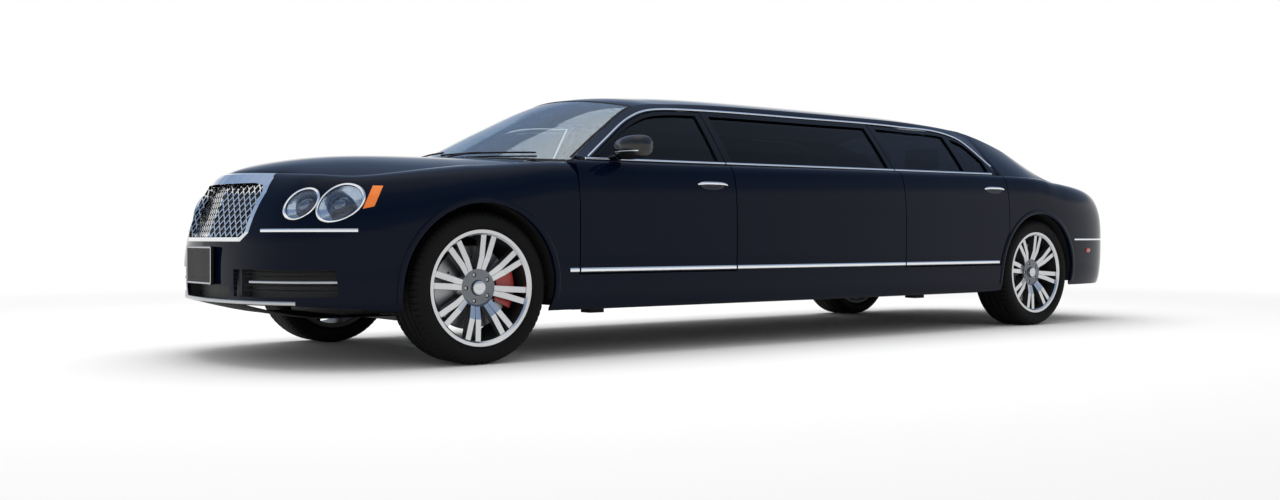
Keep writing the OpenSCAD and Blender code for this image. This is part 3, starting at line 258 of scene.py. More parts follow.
caliper_red = coating("caliper_enamel", [(0.42, 0.012, 0.01), (0.5, 0.02, 0.014)], 0.32, 90, Coat_Weight=0.4)
bolt_steel = coating("bolt_steel", [(0.3, 0.3, 0.31), (0.42, 0.42, 0.42)], 0.3, 500, metal=1.0)
sidewall = [(266.6, 113), (276.6, 113.4), (277, 118), (279.5, 124), (284, 128.6), (288, 130), (289, 131.6),
            (293, 133.2), (299, 135), (306, 136.2), (314, 136.8), (322, 136.9), (330, 135.4), (337, 132.6),
            (339, 131.6), (340, 130.8), (345, 127.6), (350, 122.6), (354, 117.6), (358, 111.4), (360.5, 104),
            (362, 96), (362.6, 88)]
ribs = [(362.8, 78), (356, 76.5), (356, 68), (362.8, 66.5), (363, 34), (356, 32.5), (356, 24), (363, 22.5)]
half_tyre = sidewall + ribs
tyre_profile = half_tyre + [(r, -w) for r, w in reversed(half_tyre)]
bolt = [(0, 79), (7.5, 79), (8.5, 77.5), (8.5, 66), (0, 66)]
bolt_count, bolt_circle = 5, 65
cap = [(0, 90), (0, 99), (12, 99), (24, 98), (29, 96.6), (31, 97.6), (32.5, 97.2), (33, 95), (33, 90)]


def tread_cut(i, r, w):
    """Cross cuts: shoulder slots between the blocks, fine sipes between the ribs."""
    if r < 344:
        return r
    return r - 5 if i % 6 == 0 and abs(w) > 80 else r - 4 if i % 6 == 3 and 36 < abs(w) < 64 else r


RIM_FINISHES = (alloy, pocket_grey, barrel_painted_shade, disc_steel, hub_grey_painted_reflection)


def rim_finish(r, w, flank):
    """The finish of a rim's face, from its radius, its width and whether it is a flank of a spoke."""
    if w < 44.8 and r < 202:
        return disc_steel
    # the barrel behind the spokes, near-black: painted shade
    if r > 248 and w < 90:
        return barrel_painted_shade
    if flank and 92 < r < 249:
        return pocket_grey
    # inside the bolt circle: grey metal darkened and tinted blue by painted shade and sky reflection
    return hub_grey_painted_reflection if r < 88 else alloy


for end, x in (("front", front_x), ("rear", rear_x)):
    for side, sign in SIDES:
        where, body = f"{end}_{side}", f"wheel_{end}_{side}"

        def at_wheel(u, w, v, x=x, sign=sign):
            return (x + u, sign * (wheel_y + w), wheel_r + v)
        piece(f"tyre_{where}_tread", *turned(tyre_profile, 432, at_wheel, tread_cut), tyre_rubber, body, "tyre",
              [f"tyre_{where}"])
        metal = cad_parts[f"rim_{where}"].data.copy()
        metal.materials.clear()
        for finish in RIM_FINISHES:
            metal.materials.append(finish)
        for face in metal.polygons:
            along, width, up = (1000 * c for c in face.center)
            finish = rim_finish(math.hypot(along - x, up - wheel_r), sign * width - wheel_y,
                                abs(face.normal.y) < 0.4)
            face.material_index = RIM_FINISHES.index(finish)
        placed(f"wheel_{where}_alloy", metal, body, [f"rim_{where}"])
        heads = []
        for k in range(bolt_count):
            a = 2 * math.pi * k / bolt_count
            u0, v0 = bolt_circle * math.cos(a), bolt_circle * math.sin(a)
            heads.append(turned(bolt, 6, lambda u, w, v: at_wheel(u0 + u, w, v0 + v)))
        piece(f"bolts_{where}", *gathered(heads), bolt_steel, body, "steel", smooth=False)
        piece(f"cap_{where}", *turned(cap, 48, at_wheel), alloy, body, "alloy")
for side, _ in SIDES:
    dress(f"caliper_{side}", caliper_red)


# Cabin: moulded dashboard with a wood band, a rimmed steering wheel, two front seats and a rear
# bench of stitched pale hide over foam, and a dark partition behind the front seats.
wood = coating("burr_wood", [(0.11, 0.042, 0.016), (0.2, 0.085, 0.03)], 0.25, 24, bump=0.0, Coat_Weight=0.6)
soft_trim = coating("soft_trim", [(0.018, 0.018, 0.02), (0.03, 0.03, 0.032)], 0.62, 900, bump=0.4)
hide = coating("seat_hide", [(0.40, 0.31, 0.22), (0.47, 0.37, 0.27)], 0.5, 520, bump=0.45, depth=0.0006)
dress("steering_wheel", soft_trim)
dress("partition", soft_trim)


def mixed(a, b, t):
    return a + (b - a) * t


def spaced(a, b, n):
    return [mixed(a, b, i / n) for i in range(n + 1)]


def clamped(t):
    return max(0, min(1, t))


def loft(rings):
    """Closed skin through rings of equal point counts."""
    n = len(rings[0])
    verts = [p for ring in rings for p in ring]
    faces = [(k * n + i, k * n + (i + 1) % n, (k + 1) * n + (i + 1) % n, (k + 1) * n + i)
             for k in range(len(rings) - 1) for i in range(n)]
    return verts, faces + [tuple(range(n)), tuple(range((len(rings) - 1) * n, len(rings) * n))]


def rounded(outline, times=3, share=0.2):
    """Cuts the corners of a closed outline, again and again."""
    for _ in range(times):
        outline = [tuple(mixed(a, b, f) for a, b in zip(p, q))
                   for p, q in zip(outline, outline[1:] + outline[:1]) for f in (share, 1 - share)]
    return outline


DOME = [(-1, -0.25), (-1, 0.3), (-0.8, 0.72), (-0.45, 0.95), (0, 1), (0.45, 0.95), (0.8, 0.72), (1, 0.3), (1, -0.25)]


def moulding(name, path, outward, half, rise, material, body, slot, profile=DOME):
    """A strip of a domed section along a path; half and rise may change along it."""
    spots, n = [Vector(p) for p in path], len(profile)
    rings = []
    for i, spot in enumerate(spots):
        u = i / (len(spots) - 1)
        way = (spots[min(i + 1, len(spots) - 1)] - spots[max(i - 1, 0)]).normalized()
        out = Vector(outward(u, spot))
        out = (out - way * out.dot(way)).normalized()
        side = way.cross(out)
        h, r = (value(u) if callable(value) else value for value in (half, rise))
        rings.append([tuple(spot + side * (a * h) + out * (b * r)) for a, b in profile])
    return piece(name, *loft(rings), material, body, slot)


def cushion(name, low, high, lean, pivot, replaced, channels, body="car"):
    """A crowned pad between two corners, sewn in channels across y and leaning about y at its pivot."""
    low, high = Vector(low), Vector(high)
    mid, half = (low + high) / 2, (high - low) / 2
    work = bmesh.new()
    bmesh.ops.create_cube(work, size=2)
    bmesh.ops.subdivide_edges(work, edges=work.edges, cuts=15, use_grid_fill=True)
    thin = min(range(3), key=lambda k: half[k])
    wide = [k for k in range(3) if k != thin]
    for vert in work.verts:
        u = vert.co.copy()
        lump = sum(abs(c) ** 6 for c in u) ** (1 / 6)
        u = u * (max(abs(c) for c in u) / lump)
        swell = (1 - u[wide[0]] ** 2) * (1 - u[wide[1]] ** 2)
        u[thin] *= 0.78 + 0.22 * swell
        seams = min(abs(abs(u[1]) - c) for c in channels)
        u[thin] *= 1 - 0.12 * math.exp(-(seams / 0.045) ** 2)
        for k in wide:
            u[k] *= 1 - 0.03 * (1 - u[[w for w in wide if w != k][0]] ** 2) * (abs(u[k]) > 0.5)
        vert.co = Vector(mid[k] + half[k] * u[k] for k in range(3))
    pivot = Vector(pivot)
    tilt = Matrix.Rotation(math.radians(lean), 4, "Y")
    work.transform(Matrix.Translation(pivot) @ tilt @ Matrix.Translation(-pivot))
    work.verts.ensure_lookup_table()
    verts = [tuple(v.co) for v in work.verts]
    faces = [tuple(v.index for v in f.verts) for f in work.faces]
    work.free()
    made = piece(name, verts, faces, hide, body, "leather", replaced)
    return made


seat_x, bench_x, seat_z, recline = 617, -1488, 290, -11
for name, x, y0, y1, node, channels in (("driver", seat_x, 142, 638, "front_seats", (0.52,)),
                                        ("passenger", seat_x, -638, -142, "front_seats", (0.52,)),
                                        ("bench", bench_x, -638, 638, "passenger_seats", (0.33, 0.72))):
    pivot = (x, 0, seat_z + 260)
    cushion(f"{name}_seat", (x + 5, y0, seat_z + 190), (x + 500, y1, seat_z + 352), 0, (x, 0, seat_z), [node],
            channels)
    cushion(f"{name}_back", (x - 105, y0 + 12, seat_z + 270), (x + 35, y1 - 12, seat_z + 800), recline, pivot,
            [node], channels)
    for k, f in enumerate((0.25, 0.75) if name == "bench" else (0.5,)):
        y = mixed(y0, y1, f)
        cushion(f"{name}_rest_{k}", (x - 88, y - 135, seat_z + 806), (x + 12, y + 135, seat_z + 950), recline,
                pivot, [], (2,))
    foot = rounded([(x + 12, y0 + 12), (x + 418, y0 + 12), (x + 418, y1 - 12), (x + 12, y1 - 12)], 3, 0.12)
    mid_x, mid_y = x + 215, (y0 + y1) / 2
    rings = [[(mid_x + (u - x - 215) * grow + dx, mid_y + (v - mid_y) * grow, seat_z + h) for u, v in foot]
             for grow, dx, h in ((0.97, 0, 1), (1, 0, 9), (1, 26, 178), (0.96, 30, 200))]
    piece(f"{name}_plinth", *loft(rings), soft_trim, "car", "leather")
dash = rounded([(1806, 662), (1806, 878), (1647, 942), (1417, 929), (1369, 880), (1378, 800), (1458, 662)], 3, 0.15)
rings = []
for y in spaced(-748, 748, 88):
    tuck = 1 - 0.02 * max(0, (abs(y) - 690) / 58) ** 2
    hood = 44 * math.exp(-((y - 370) / 165) ** 4)
    ring = []
    for x, z in dash:
        rise = hood * clamped((z - 865) / 60) * clamped((1600 - x) / 130)
        ring.append((1590 + (x - 1590) * tuck - 0.2 * hood * (x < 1440), y, 800 + (z - 800) * tuck + rise))
    rings.append(ring)
piece("dash_top", *loft(rings), soft_trim, "car", "leather", ["dashboard"])
moulding("dash_band", [(1376, y, 806) for y in spaced(-722, 722, 60)], lambda u, p: (-1, 0, 0), 15, 6, wood, "car",
         "wood")
vent_black = coating("vent_black", [(0.006, 0.006, 0.007), (0.010, 0.010, 0.011)], 0.3, 300)
vent_metal = coating("vent_metal", [(0.42, 0.43, 0.44), (0.5, 0.5, 0.51)], 0.28, 300, metal=1.0)
screen, screen_z = rounded([(-128, 832), (128, 832), (128, 886), (-128, 886)], 3, 0.12), 859
rings = [[(x, y * f, screen_z + (z - screen_z) * f) for y, z in screen]
         for x, f in ((1376, 1), (1366, 1), (1364, 0.97), (1366, 0.9))]
piece("dash_screen", *loft(rings), vent_black, "car", "black_plastic")
vent_ring = [(26, -4), (27, 8), (31, 9), (33, 5), (33, -4)]
vent_core = [(0, -3), (0, 5), (8, 4), (9, -1), (24, 2), (26, 3), (26, -3)]
for k, y in enumerate((-640, -210, 210, 640)):
    def at_vent(u, w, v, y=y):
        return 1372 - w, y + u, 858 + v
    piece(f"vent_ring_{k}", *turned(vent_ring, 40, at_vent), vent_metal, "car", "steel")
    piece(f"vent_core_{k}", *turned(vent_core, 40, at_vent), vent_black, "car", "black_plastic")


# Sills: the painted lower edges between the wheel arches, folded round the floor's sides.
# The body's outline, sections and roof follow the same tables as its solids.
nose_x, tail_x, tail_start, half_w, end_y, door_gap, seam = 3312, -3327, -2248, 985, 975, 6.5, 0.3
wheelbase, door1_front, door1_rear, door2_front, door2_rear = 4410, 545, 1592, 3003, 4060
belt_base, belt_climb, cant_z, cant_y, low_round, above_all = 990, 28, 1366, 612, 2.5, 2000
nose_points = [(nose_x, 0), (nose_x - 20, 520), (front_x + 870, end_y), (front_x, end_y)]
tail_points = [(tail_start, end_y), (tail_x + 150, end_y), (tail_x, 780), (tail_x, 0)]


def left_half(s):
    """The place on the outline's left half that matches a place on either half."""
    return -s if s < 0 else 6 - s if s > 3 else s


def plan(s):
    """A point of the outline: place 0 is the nose, 1 the front axle, 2 behind the cabin, 3 the tail."""
    if s < 0 or s > 3:
        x, y = plan(left_half(s))
        return x, -y
    if 1 < s <= 2:
        return mixed(front_x, tail_start, s - 1), half_w - 5 * (1 - math.cos(2 * math.pi * (s - 1.5)))
    curve, t = (nose_points, s) if s <= 1 else (tail_points, s - 2)
    weights = ((1 - t) ** 3, 3 * t * (1 - t) ** 2, 3 * t * t * (1 - t), t ** 3)
    return tuple(sum(w * p[k] for w, p in zip(weights, curve)) for k in (0, 1))


def plan_normal(s):
    (x0, y0), (x1, y1) = plan(s - 0.002), plan(s + 0.002)
    size = math.hypot(x1 - x0, y1 - y0)
    return (y1 - y0) / size, -(x1 - x0) / size


def inside(s, d, z):
    """A point at height z, a distance d in from the outline."""
    (x, y), n = plan(s), plan_normal(s)
    return x - n[0] * d, y - n[1] * d, z


def s_of(q):
    """The place on the outline a distance q behind the front axle."""
    return 1 + q / (front_x - tail_start)


def back(q):
    return front_x - q


def belt(q):
    return belt_base + belt_climb * (q - door1_front) / (door2_rear - door1_front)


def column(table, k, c):
    """A column of a table, read smoothly between its rows."""
    i = 0
    while i < len(table) - 2 and k >= table[i + 1][0]:
        i += 1

    def slope(n):
        if n in (0, len(table) - 1):
            return 0
        return (table[n + 1][c] - table[n - 1][c]) / (table[n + 1][0] - table[n - 1][0])
    a, b = table[i], table[i + 1]
    h = b[0] - a[0]
    t = clamped((k - a[0]) / h)
    u = 1 - t
    return (a[c] * (1 + 2 * t) * u * u + slope(i) * h * t * u * u + b[c] * t * t * (3 - 2 * t)
            - slope(i + 1) * h * t * t * u)


# columns: place on the outline, low edge z, tuck, widest z, top edge z, top inset, roundness
NOSE = [(0, 298, 15, 450, 912, 140, 2.0), (0.3, 298, 15, 452, 903, 190, 1.7), (0.5, 290, 25, 468, 895, 190, 2.0),
        (0.72, 272, 48, 510, 890, 200, 2.3), (1, 240, 62, 640, 952, 240, 2.9),
        (s_of(door1_front), 240, 65, 650, 986, 232, 4.0)]
CABIN = [(s_of(door1_front), 240, 65, 650, 990, 75, 2.4), (s_of(door2_rear), 240, 65, 655, 1018, 75, 2.5)]
TAIL = [(s_of(door2_rear), 240, 65, 655, 1018, 75, 2.5), (s_of(wheelbase), 240, 62, 680, 1015, 100, 3.0),
        (2.06, 246, 60, 668, 998, 190, 3.2), (2.35, 254, 55, 600, 962, 235, 2.9), (2.7, 264, 50, 540, 938, 200, 2.5),
        (3, 266, 50, 530, 938, 185, 2.4)]


def height_place(table, s, z):
    """How far up a section a height lies: -1 at its low edge, 0 where it is widest, 1 at its top."""
    f = left_half(s)
    low, middle, top, round_top = (column(table, f, c) for c in (1, 3, 4, 6))
    if z >= middle:
        return math.asin(min(1, (z - middle) / (top - middle)) ** (round_top / 2)) / (math.pi / 2)
    return -math.asin(min(1, (middle - z) / (middle - low)) ** (low_round / 2)) / (math.pi / 2)


def body_point(table, s, v, t=0):
    """A point of the body's skin, v up its section at the place s, or t below the skin."""
    f = left_half(s)
    middle, a = column(table, f, 3), math.pi / 2 * abs(v)
    p = 2 / (column(table, f, 6) if v >= 0 else low_round)
    inset = column(table, f, 5 if v >= 0 else 2) * (1 - max(0, math.cos(a)) ** p)
    z = middle + (column(table, f, 4 if v >= 0 else 1) - middle) * math.sin(a) ** p
    inset += t * math.cos(math.pi / 2 * v)
    (x, y), n = plan(s), plan_normal(s)
    return x - n[0] * inset, y - n[1] * inset, z - t * math.sin(math.pi / 2 * v)


def on_body(table, s, z, t=0):
    return body_point(table, s, height_place(table, s, z), t)


def sheet_faces(outer, inner):
    """A closed sheet between two grids of points."""
    m, n = len(outer) - 1, len(outer[0]) - 1
    count = (m + 1) * (n + 1)
    verts = [p for row in outer for p in row] + [p for row in inner for p in row]
    faces = []
    for i in range(m):
        for j in range(n):
            a = i * (n + 1) + j
            quad = (a, a + 1, a + n + 2, a + n + 1)
            faces += [quad, tuple(k + count for k in reversed(quad))]
    rim = [i * (n + 1) for i in range(m + 1)] + [m * (n + 1) + j for j in range(1, n + 1)]
    rim += [i * (n + 1) + n for i in range(m - 1, -1, -1)] + [j for j in range(n - 1, 0, -1)]
    faces += [(a, b, b + count, a + count) for a, b in zip(rim, rim[1:] + rim[:1])]
    return verts, faces


def tool(verts, faces):
    """A closed mesh used to cut others."""
    made = bpy.data.objects.new("tool", closed_mesh("tool", verts, faces, weld=False))
    scene.collection.objects.link(made)
    return made


def swept(outline, place, a, b):
    """A flat outline swept from a to b; place turns (u, v, depth) into a point."""
    n = len(outline)
    verts = [place(u, v, a) for u, v in outline] + [place(u, v, b) for u, v in outline]
    faces = [tuple(range(n)), tuple(range(2 * n - 1, n - 1, -1))]
    faces += [(i, (i + 1) % n, n + (i + 1) % n, n + i) for i in range(n)]
    return verts, faces


def prism(outline, place, a, b):
    return tool(*swept(outline, place, a, b))


def ring_outline(r, n=160):
    return [(r * math.cos(2 * math.pi * i / n), r * math.sin(2 * math.pi * i / n)) for i in range(n)]


def arch_tool(x, r, sign=1):
    return prism(ring_outline(r), lambda u, v, w: (x + u, sign * w, wheel_r + v), 400, 1060)


def block_tool(a, b):
    outline = [(a[0], a[1]), (b[0], a[1]), (b[0], b[1]), (a[0], b[1])]
    return prism(outline, lambda u, v, w: (u, v, w), a[2], b[2])


def carved(verts, faces, cuts=(), keeps=()):
    """The mesh left of a closed mesh by its cutting tools, and only inside its keeping tools."""
    blank = tool(verts, faces)
    for other, operation in [(c, "DIFFERENCE") for c in cuts] + [(k, "INTERSECT") for k in keeps]:
        step = blank.modifiers.new("cut", "BOOLEAN")
        step.object, step.operation, step.solver = other, operation, "MANIFOLD"
    view = bpy.context.evaluated_depsgraph_get()
    mesh = bpy.data.meshes.new_from_object(blank.evaluated_get(view))
    for gone in [blank, *cuts, *keeps]:
        bpy.data.objects.remove(gone)
    return mesh


def soften(mesh, grids):
    """Sets normals from the smooth grids the mesh was cut from; cut edges stay crisp."""
    points, faces, normals = [], [], []
    for grid in grids:
        g = np.array(grid, dtype=float) / 1000
        along, up = np.gradient(g, axis=0), np.gradient(g, axis=1)
        n = np.cross(along, up)
        n /= np.maximum(np.linalg.norm(n, axis=2, keepdims=True), 1e-12)
        base, w = len(points), g.shape[1]
        points += [tuple(p) for p in g.reshape(-1, 3)]
        normals += [Vector(v) for v in n.reshape(-1, 3)]
        faces += [(base + i * w + j, base + i * w + j + 1, base + (i + 1) * w + j + 1, base + (i + 1) * w + j)
                  for i in range(g.shape[0] - 1) for j in range(w - 1)]
    tree = BVHTree.FromPolygons([Vector(p) for p in points], faces)
    vert_normal = []
    for vert in mesh.vertices:
        spot, _, index, gap = tree.find_nearest(vert.co)
        total = Vector((0, 0, 0))
        for k in faces[index]:
            total += normals[k] / ((Vector(points[k]) - vert.co).length + 1e-6)
        vert_normal.append(total.normalized() if gap < 0.004 else None)
    mesh.shade_smooth()
    split = [None] * len(mesh.loops)
    for face in mesh.polygons:
        for loop in face.loop_indices:
            n = vert_normal[mesh.loops[loop].vertex_index]
            dot = n.dot(face.normal) if n else 0
            split[loop] = n if dot > 0.8 else -n if dot < -0.8 else face.normal
    mesh.normals_split_custom_set(split)


def reflected(mesh):
    """The same mesh on the car's other side."""
    other = bpy.data.meshes.new(mesh.name)
    other.from_pydata([(v.co.x, -v.co.y, v.co.z) for v in mesh.vertices], [],
                      [tuple(reversed(p.vertices)) for p in mesh.polygons])
    return other


def panel(name, mesh, grids, materials, body, node, pick=None, mirror=False):
    """A finished panel: smooth normals, its finish, and its place on a body."""
    if mirror:
        mesh = reflected(mesh)
        grids = [[[(x, -y, z) for x, y, z in row] for row in grid] for grid in grids]
    mesh.materials.clear()
    for material in materials:
        mesh.materials.append(material)
    soften(mesh, grids)
    for face in mesh.polygons:
        face.material_index = pick(face) if pick else 0
    return placed(name, mesh, body, [node])


paint = coating("deep_blue_paint", [(0.0006, 0.0026, 0.0098), (0.0009, 0.0034, 0.0122)], 0.05, 1600, bump=0.0,
                swing=0.02, IOR=1.2)


def two_sides(name, verts, faces, grids, cuts, materials, body, slot, node, pick=None):
    """A panel on the car's left side and its reflection on the right."""
    mesh = carved(verts, faces, cuts)
    for side, mirror in (("left", False), ("right", True)):
        panel(f"{name}_{side}", mesh.copy() if not mirror else mesh, grids, materials, body.format(side),
              node.format(side), pick, mirror)


sill_top, sill_back, arch_r, lip_r, quarter_r = 418.5, 845.3, 402, 417, 436
sill_s = [s_of(q) for q in spaced(door1_front - 6.2, door2_rear, 60)]
sill_out = [[body_point(CABIN, s, v) for v in spaced(-1, height_place(CABIN, s, sill_top), 14)] for s in sill_s]
sill_in = [[(x, sill_back, z) for x, y, z in row] for row in sill_out]
two_sides("sill", *sheet_faces(sill_out, sill_in), [sill_out], [arch_tool(rear_x, quarter_r + seam)], [paint],
          "car", "paint", "sills")


# Front bumper cover and front wings: moulded and pressed skins in body colour, joined along the
# bumper's upper edge, with openings for the lamps, the grille, the air intakes and the wheels.
def skin(table, places, low, high, rows=34, t=20):
    """The outer and inner grids of a skin between two heights, each a function of the place."""
    spans = [spaced(height_place(table, s, low(s)), height_place(table, s, high(s)), rows) for s in places]
    return ([[body_point(table, s, v) for v in span] for s, span in zip(places, spans)],
            [[body_point(table, s, v, t) for v in span] for s, span in zip(places, spans)])


def place_at(x, a, b):
    """The place on the outline, between a and b, that lies at x."""
    for _ in range(30):
        m = (a + b) / 2
        a, b = (m, b) if plan(m)[0] > x else (a, m)
    return (a + b) / 2


def place_of(x):
    """The place on the outline's left half that lies at x."""
    if tail_start < x < front_x:
        return s_of(front_x - x)
    return place_at(x, 0.4, 1) if x > 0 else place_at(x, 2, 2.8)


grille_s, bumper_top, rear_bumper_top = 0.29, 632, 600
bumper_s = place_at(front_x + 300, 0, 1)
# columns of LAMPS: place on the outline, height, radius, stretch forwards, stretch rearwards
LAMPS = [(0.51, 752, 76, 1.12, 1), (0.64, 756, 92, 1, 1.2)]


def grille_tool(grow, rise):
    """Cuts the grille's opening, wider and higher than its mesh."""
    half = [(346 + grow / 2, 602 - grow * 0.7), (380 + grow, 622), (398 + grow, 812),
            (374 + grow, 846 + rise * 0.5), (312 + grow, 858 + rise)]
    outline = half + [(-y, z) for y, z in reversed(half)]
    return prism(outline, lambda u, v, w: (w, u, v), front_x + 400, front_x + 1400)


grille_grow, grille_rise, intake_end = 27.3, 62, 815


def intake_tools():
    back_x, ahead_x = front_x + 420, nose_x + 50
    return [block_tool((back_x, -290, 300), (ahead_x, 290, 380)),
            block_tool((back_x, 330, 330), (ahead_x, intake_end, 455)),
            block_tool((back_x, -intake_end, 330), (ahead_x, -330, 455))]


def lamp_frame(lamp):
    """Turns a lamp's own (down, rearwards, outwards) into a point on the car: the lamps are leaning ovals."""
    n, origin = plan_normal(lamp[0]), on_body(NOSE, lamp[0], lamp[1])
    yaw, tip = math.atan2(n[1], n[0]), math.radians(14)
    turn = Matrix.Rotation(yaw, 3, "Z") @ Matrix.Rotation(math.pi / 2 - tip, 3, "Y")

    def spot(u, v, w):
        v = v * lamp[4 if v > 0 else 3] - 0.42 * u
        return tuple(Vector(origin) + turn @ Vector((u, v, w - v * v / 1600)))
    return spot


def marker_tool(grow):
    a, b = Vector(plan(0.712)), Vector(plan(0.76))
    n, m = plan_normal(0.736), (a + b) / 2
    w, yaw, h = (a - b).length / 2 + grow, math.atan2(n[1], n[0]), 108 + 2 * grow
    outline = [(0, 2 - w), (h, 50 - w), (h, w + 16), (12, w - 26)]
    c, s = math.cos(yaw), math.sin(yaw)
    return prism(outline, lambda u, v, d: (m[0] + c * d - s * v, m[1] + s * d + c * v, 730 - grow + u), -100, 60)


bumper_places = spaced(-bumper_s, bumper_s, 150)
bumper_out, bumper_in = skin(NOSE, bumper_places, lambda s: column(NOSE, abs(s), 1) + 2, lambda s: bumper_top, 26)
bumper_cuts = [arch_tool(front_x, arch_r, sign) for _, sign in SIDES]
bumper_cuts += [grille_tool(grille_grow, grille_rise)] + intake_tools()
panel("front_bumper_cover", carved(*sheet_faces(bumper_out, bumper_in), bumper_cuts), [bumper_out, bumper_in],
      [paint], "car", "front_bumper")


def low_edge(axle, ahead, behind):
    """A skin's low edge over an axle, going from one height ahead of it to another behind."""
    return lambda s: mixed(behind, ahead, clamped((plan(s)[0] - axle + 300) / 600))


wing_places = spaced(grille_s - 0.05, bumper_s, 60) + spaced(bumper_s + 0.005, s_of(door1_front - door_gap), 70)
wing_out, wing_in = skin(NOSE, wing_places, low_edge(front_x, bumper_top + seam, 242), lambda s: above_all)
wing_cuts = [grille_tool(grille_grow, grille_rise), arch_tool(front_x, arch_r), marker_tool(seam)]
for lamp in LAMPS:
    wing_cuts.append(prism(ring_outline(lamp[2], 96), lamp_frame(lamp), -90, 90))
two_sides("front_wing", *sheet_faces(wing_out, wing_in), [wing_out, wing_in], wing_cuts, [paint], "car", "paint",
          "front_wings")


def on_side(points, sign):
    """Points on the car's left side for sign 1, on its right side for -1."""
    return [(x, sign * y, z) for x, y, z in points]


def arch_lip(name, table, axle):
    """The folded lip round a wheel's opening and the liner's edge behind it, on both sides."""
    path = []
    for a in spaced(math.radians(-9), math.radians(189), 80):
        x, z = axle + lip_r * math.cos(a), wheel_r + lip_r * math.sin(a)
        path.append((x, on_body(table, place_of(x), z)[1], z))
    edges = [[[(axle + (x - axle) * r / lip_r, mixed(885, y - 8, f), wheel_r + (z - wheel_r) * r / lip_r)
               for f in (0, 0.5, 1)] for x, y, z in path] for r in (405, 409.5)]
    for side, sign in SIDES:
        moulding(f"{name}_{side}", on_side(path, sign), lambda u, p: (0, sign, 0), 14, 5, paint, "car", "paint")
        rows = [[on_side(row, sign) for row in edge] for edge in edges]
        piece(f"{name}_liner_{side}", *sheet_faces(*rows), sealer, "car", "underbody")


arch_lip("front_arch_lip", NOSE, front_x)


# Bonnet: one pressed lid between the wings, hinged on lugs at its rear corners below the
# windscreen. The cast engine under it has a moulded cover, cam covers, coil caps and two hoses.
# columns of ROOF: distance behind the front axle, edge half width, edge z, crown, forward sweep
ROOF = [(400, 830, 846, 10, 500), (640, 750, 1003, 25, 390), (900, 672, 1178, 46, 250), (1150, 600, 1320, 64, 120),
        (1420, 602, 1352, 74, 40), (1900, 608, 1366, 80, 0), (3010, 612, 1366, 80, 0), (3510, 612, 1358, 80, -8),
        (4010, 614, 1320, 80, -40), (4410, 628, 1225, 64, -80), (4710, 664, 1095, 38, -105),
        (4930, 700, 1000, 18, -120), (5170, 722, 926, 8, -120)]


def roof_point(q, k, drop=0):
    """A point of the roof and screens, q behind the front axle and k across, from -1 to 1."""
    b = 1 - k * k
    return (back(q) + column(ROOF, q, 4) * b, k * (column(ROOF, q, 1) - seam),
            column(ROOF, q, 2) + column(ROOF, q, 3) * b - drop)


def rim_in(table, s, inset):
    (x, y, z), n = body_point(table, s, 1), plan_normal(s)
    return x - n[0] * inset, y - n[1] * inset, z


def spread(c, e, k):
    return mixed(c[0], e[0], k * k), k * e[1], mixed(c[2], e[2], abs(k) ** 2.6)


def bonnet_point(p, k):
    def soft(p):
        a = rim_in(NOSE, 0, door_gap)
        b = column(ROOF, 640, 2) + column(ROOF, 640, 3) - 6
        middle = (mixed(a[0], back(215), p), 0, mixed(a[2], b, p) + 54 * math.sin(math.pi * p ** 0.7))
        return spread(middle, rim_in(NOSE, mixed(grille_s, s_of(440), p), door_gap), k)
    edge, start = rim_in(NOSE, k * grille_s, door_gap), soft(0)
    return tuple(c + (e - s) * (1 - p) ** 3 for c, e, s in zip(soft(p), edge, start))


across = [1 - 2 * j / 64 for j in range(65)]
lid_thick = 16


def lid(name, outer, body):
    """A pressed lid of even thickness."""
    inner = [[(x, y, z - lid_thick) for x, y, z in row] for row in outer]
    panel(name, carved(*sheet_faces(outer, inner)), [outer, inner], [paint], body, body)


lid("bonnet_skin", [[bonnet_point(p, k) for k in across] for p in spaced(0, 1, 60)], "bonnet")


def hinge_lugs(body, x, y, z, way):
    """The pair of lugs under a lid's edge, each round a pin of the body."""
    outline = [(x + way * 13 * math.cos(a), z + 13 * math.sin(a))
               for a in spaced(math.pi * 0.55, math.pi * 1.72, 12)]
    outline += [(x + way * 50, z - 9), (x + way * 50, z + 4)]
    bore = [(x + way * u, z + v) for u, v in ring_outline(8.1, 32)]
    for side, sign in SIDES:
        def at_lug(u, v, w, sign=sign):
            return u, sign * w, v
        cut = carved(*swept(outline, at_lug, y, y + 36), [prism(bore, at_lug, y - 5, y + 41)])
        cut.materials.append(forged)
        placed(f"{body}_lug_{side}", cut, body)


hinge_lugs("bonnet", 1900.99, 644.697, 979.772, 1)


def upwards(u, p):
    return (0, 0, 1)


def turns(n):
    """Angles round a full turn, n of them."""
    return spaced(0, 2 * math.pi, n)[:-1]


def round_bar(n):
    """A round section for a moulding."""
    return [(math.cos(a), math.sin(a)) for a in turns(n)]


cover, cover_x = rounded([(2118, -196), (2694, -196), (2694, 196), (2118, 196)], 3, 0.12), 2406
rings = [[(cover_x + (x - cover_x) * f, y * f, z) for x, y in cover]
         for z, f in ((760.4, 1), (784, 1), (794, 0.985), (799, 0.96), (800, 0.93), (800, 0.2))]
piece("engine_cover", *loft(rings), soft_trim, "car", "black_plastic")
for k, y in enumerate((-132, -79, -26, 26, 79, 132)):
    moulding(f"engine_cover_rib_{k}", [(x, y, 799.6) for x in spaced(2170, 2640, 12)], upwards,
             lambda u: 13 * min(1, 0.25 + 6 * u * (1 - u)), 5, pocket_grey, "car", "black_plastic")
coil_cap = [(0, 790), (15, 790), (15, 806), (12, 809), (0, 809)]
hose = [(2700, 120, 776), (2750, 122, 786), (2810, 130, 780), (2870, 146, 756), (2930, 160, 722), (2985, 168, 690),
        (3040, 170, 676)]
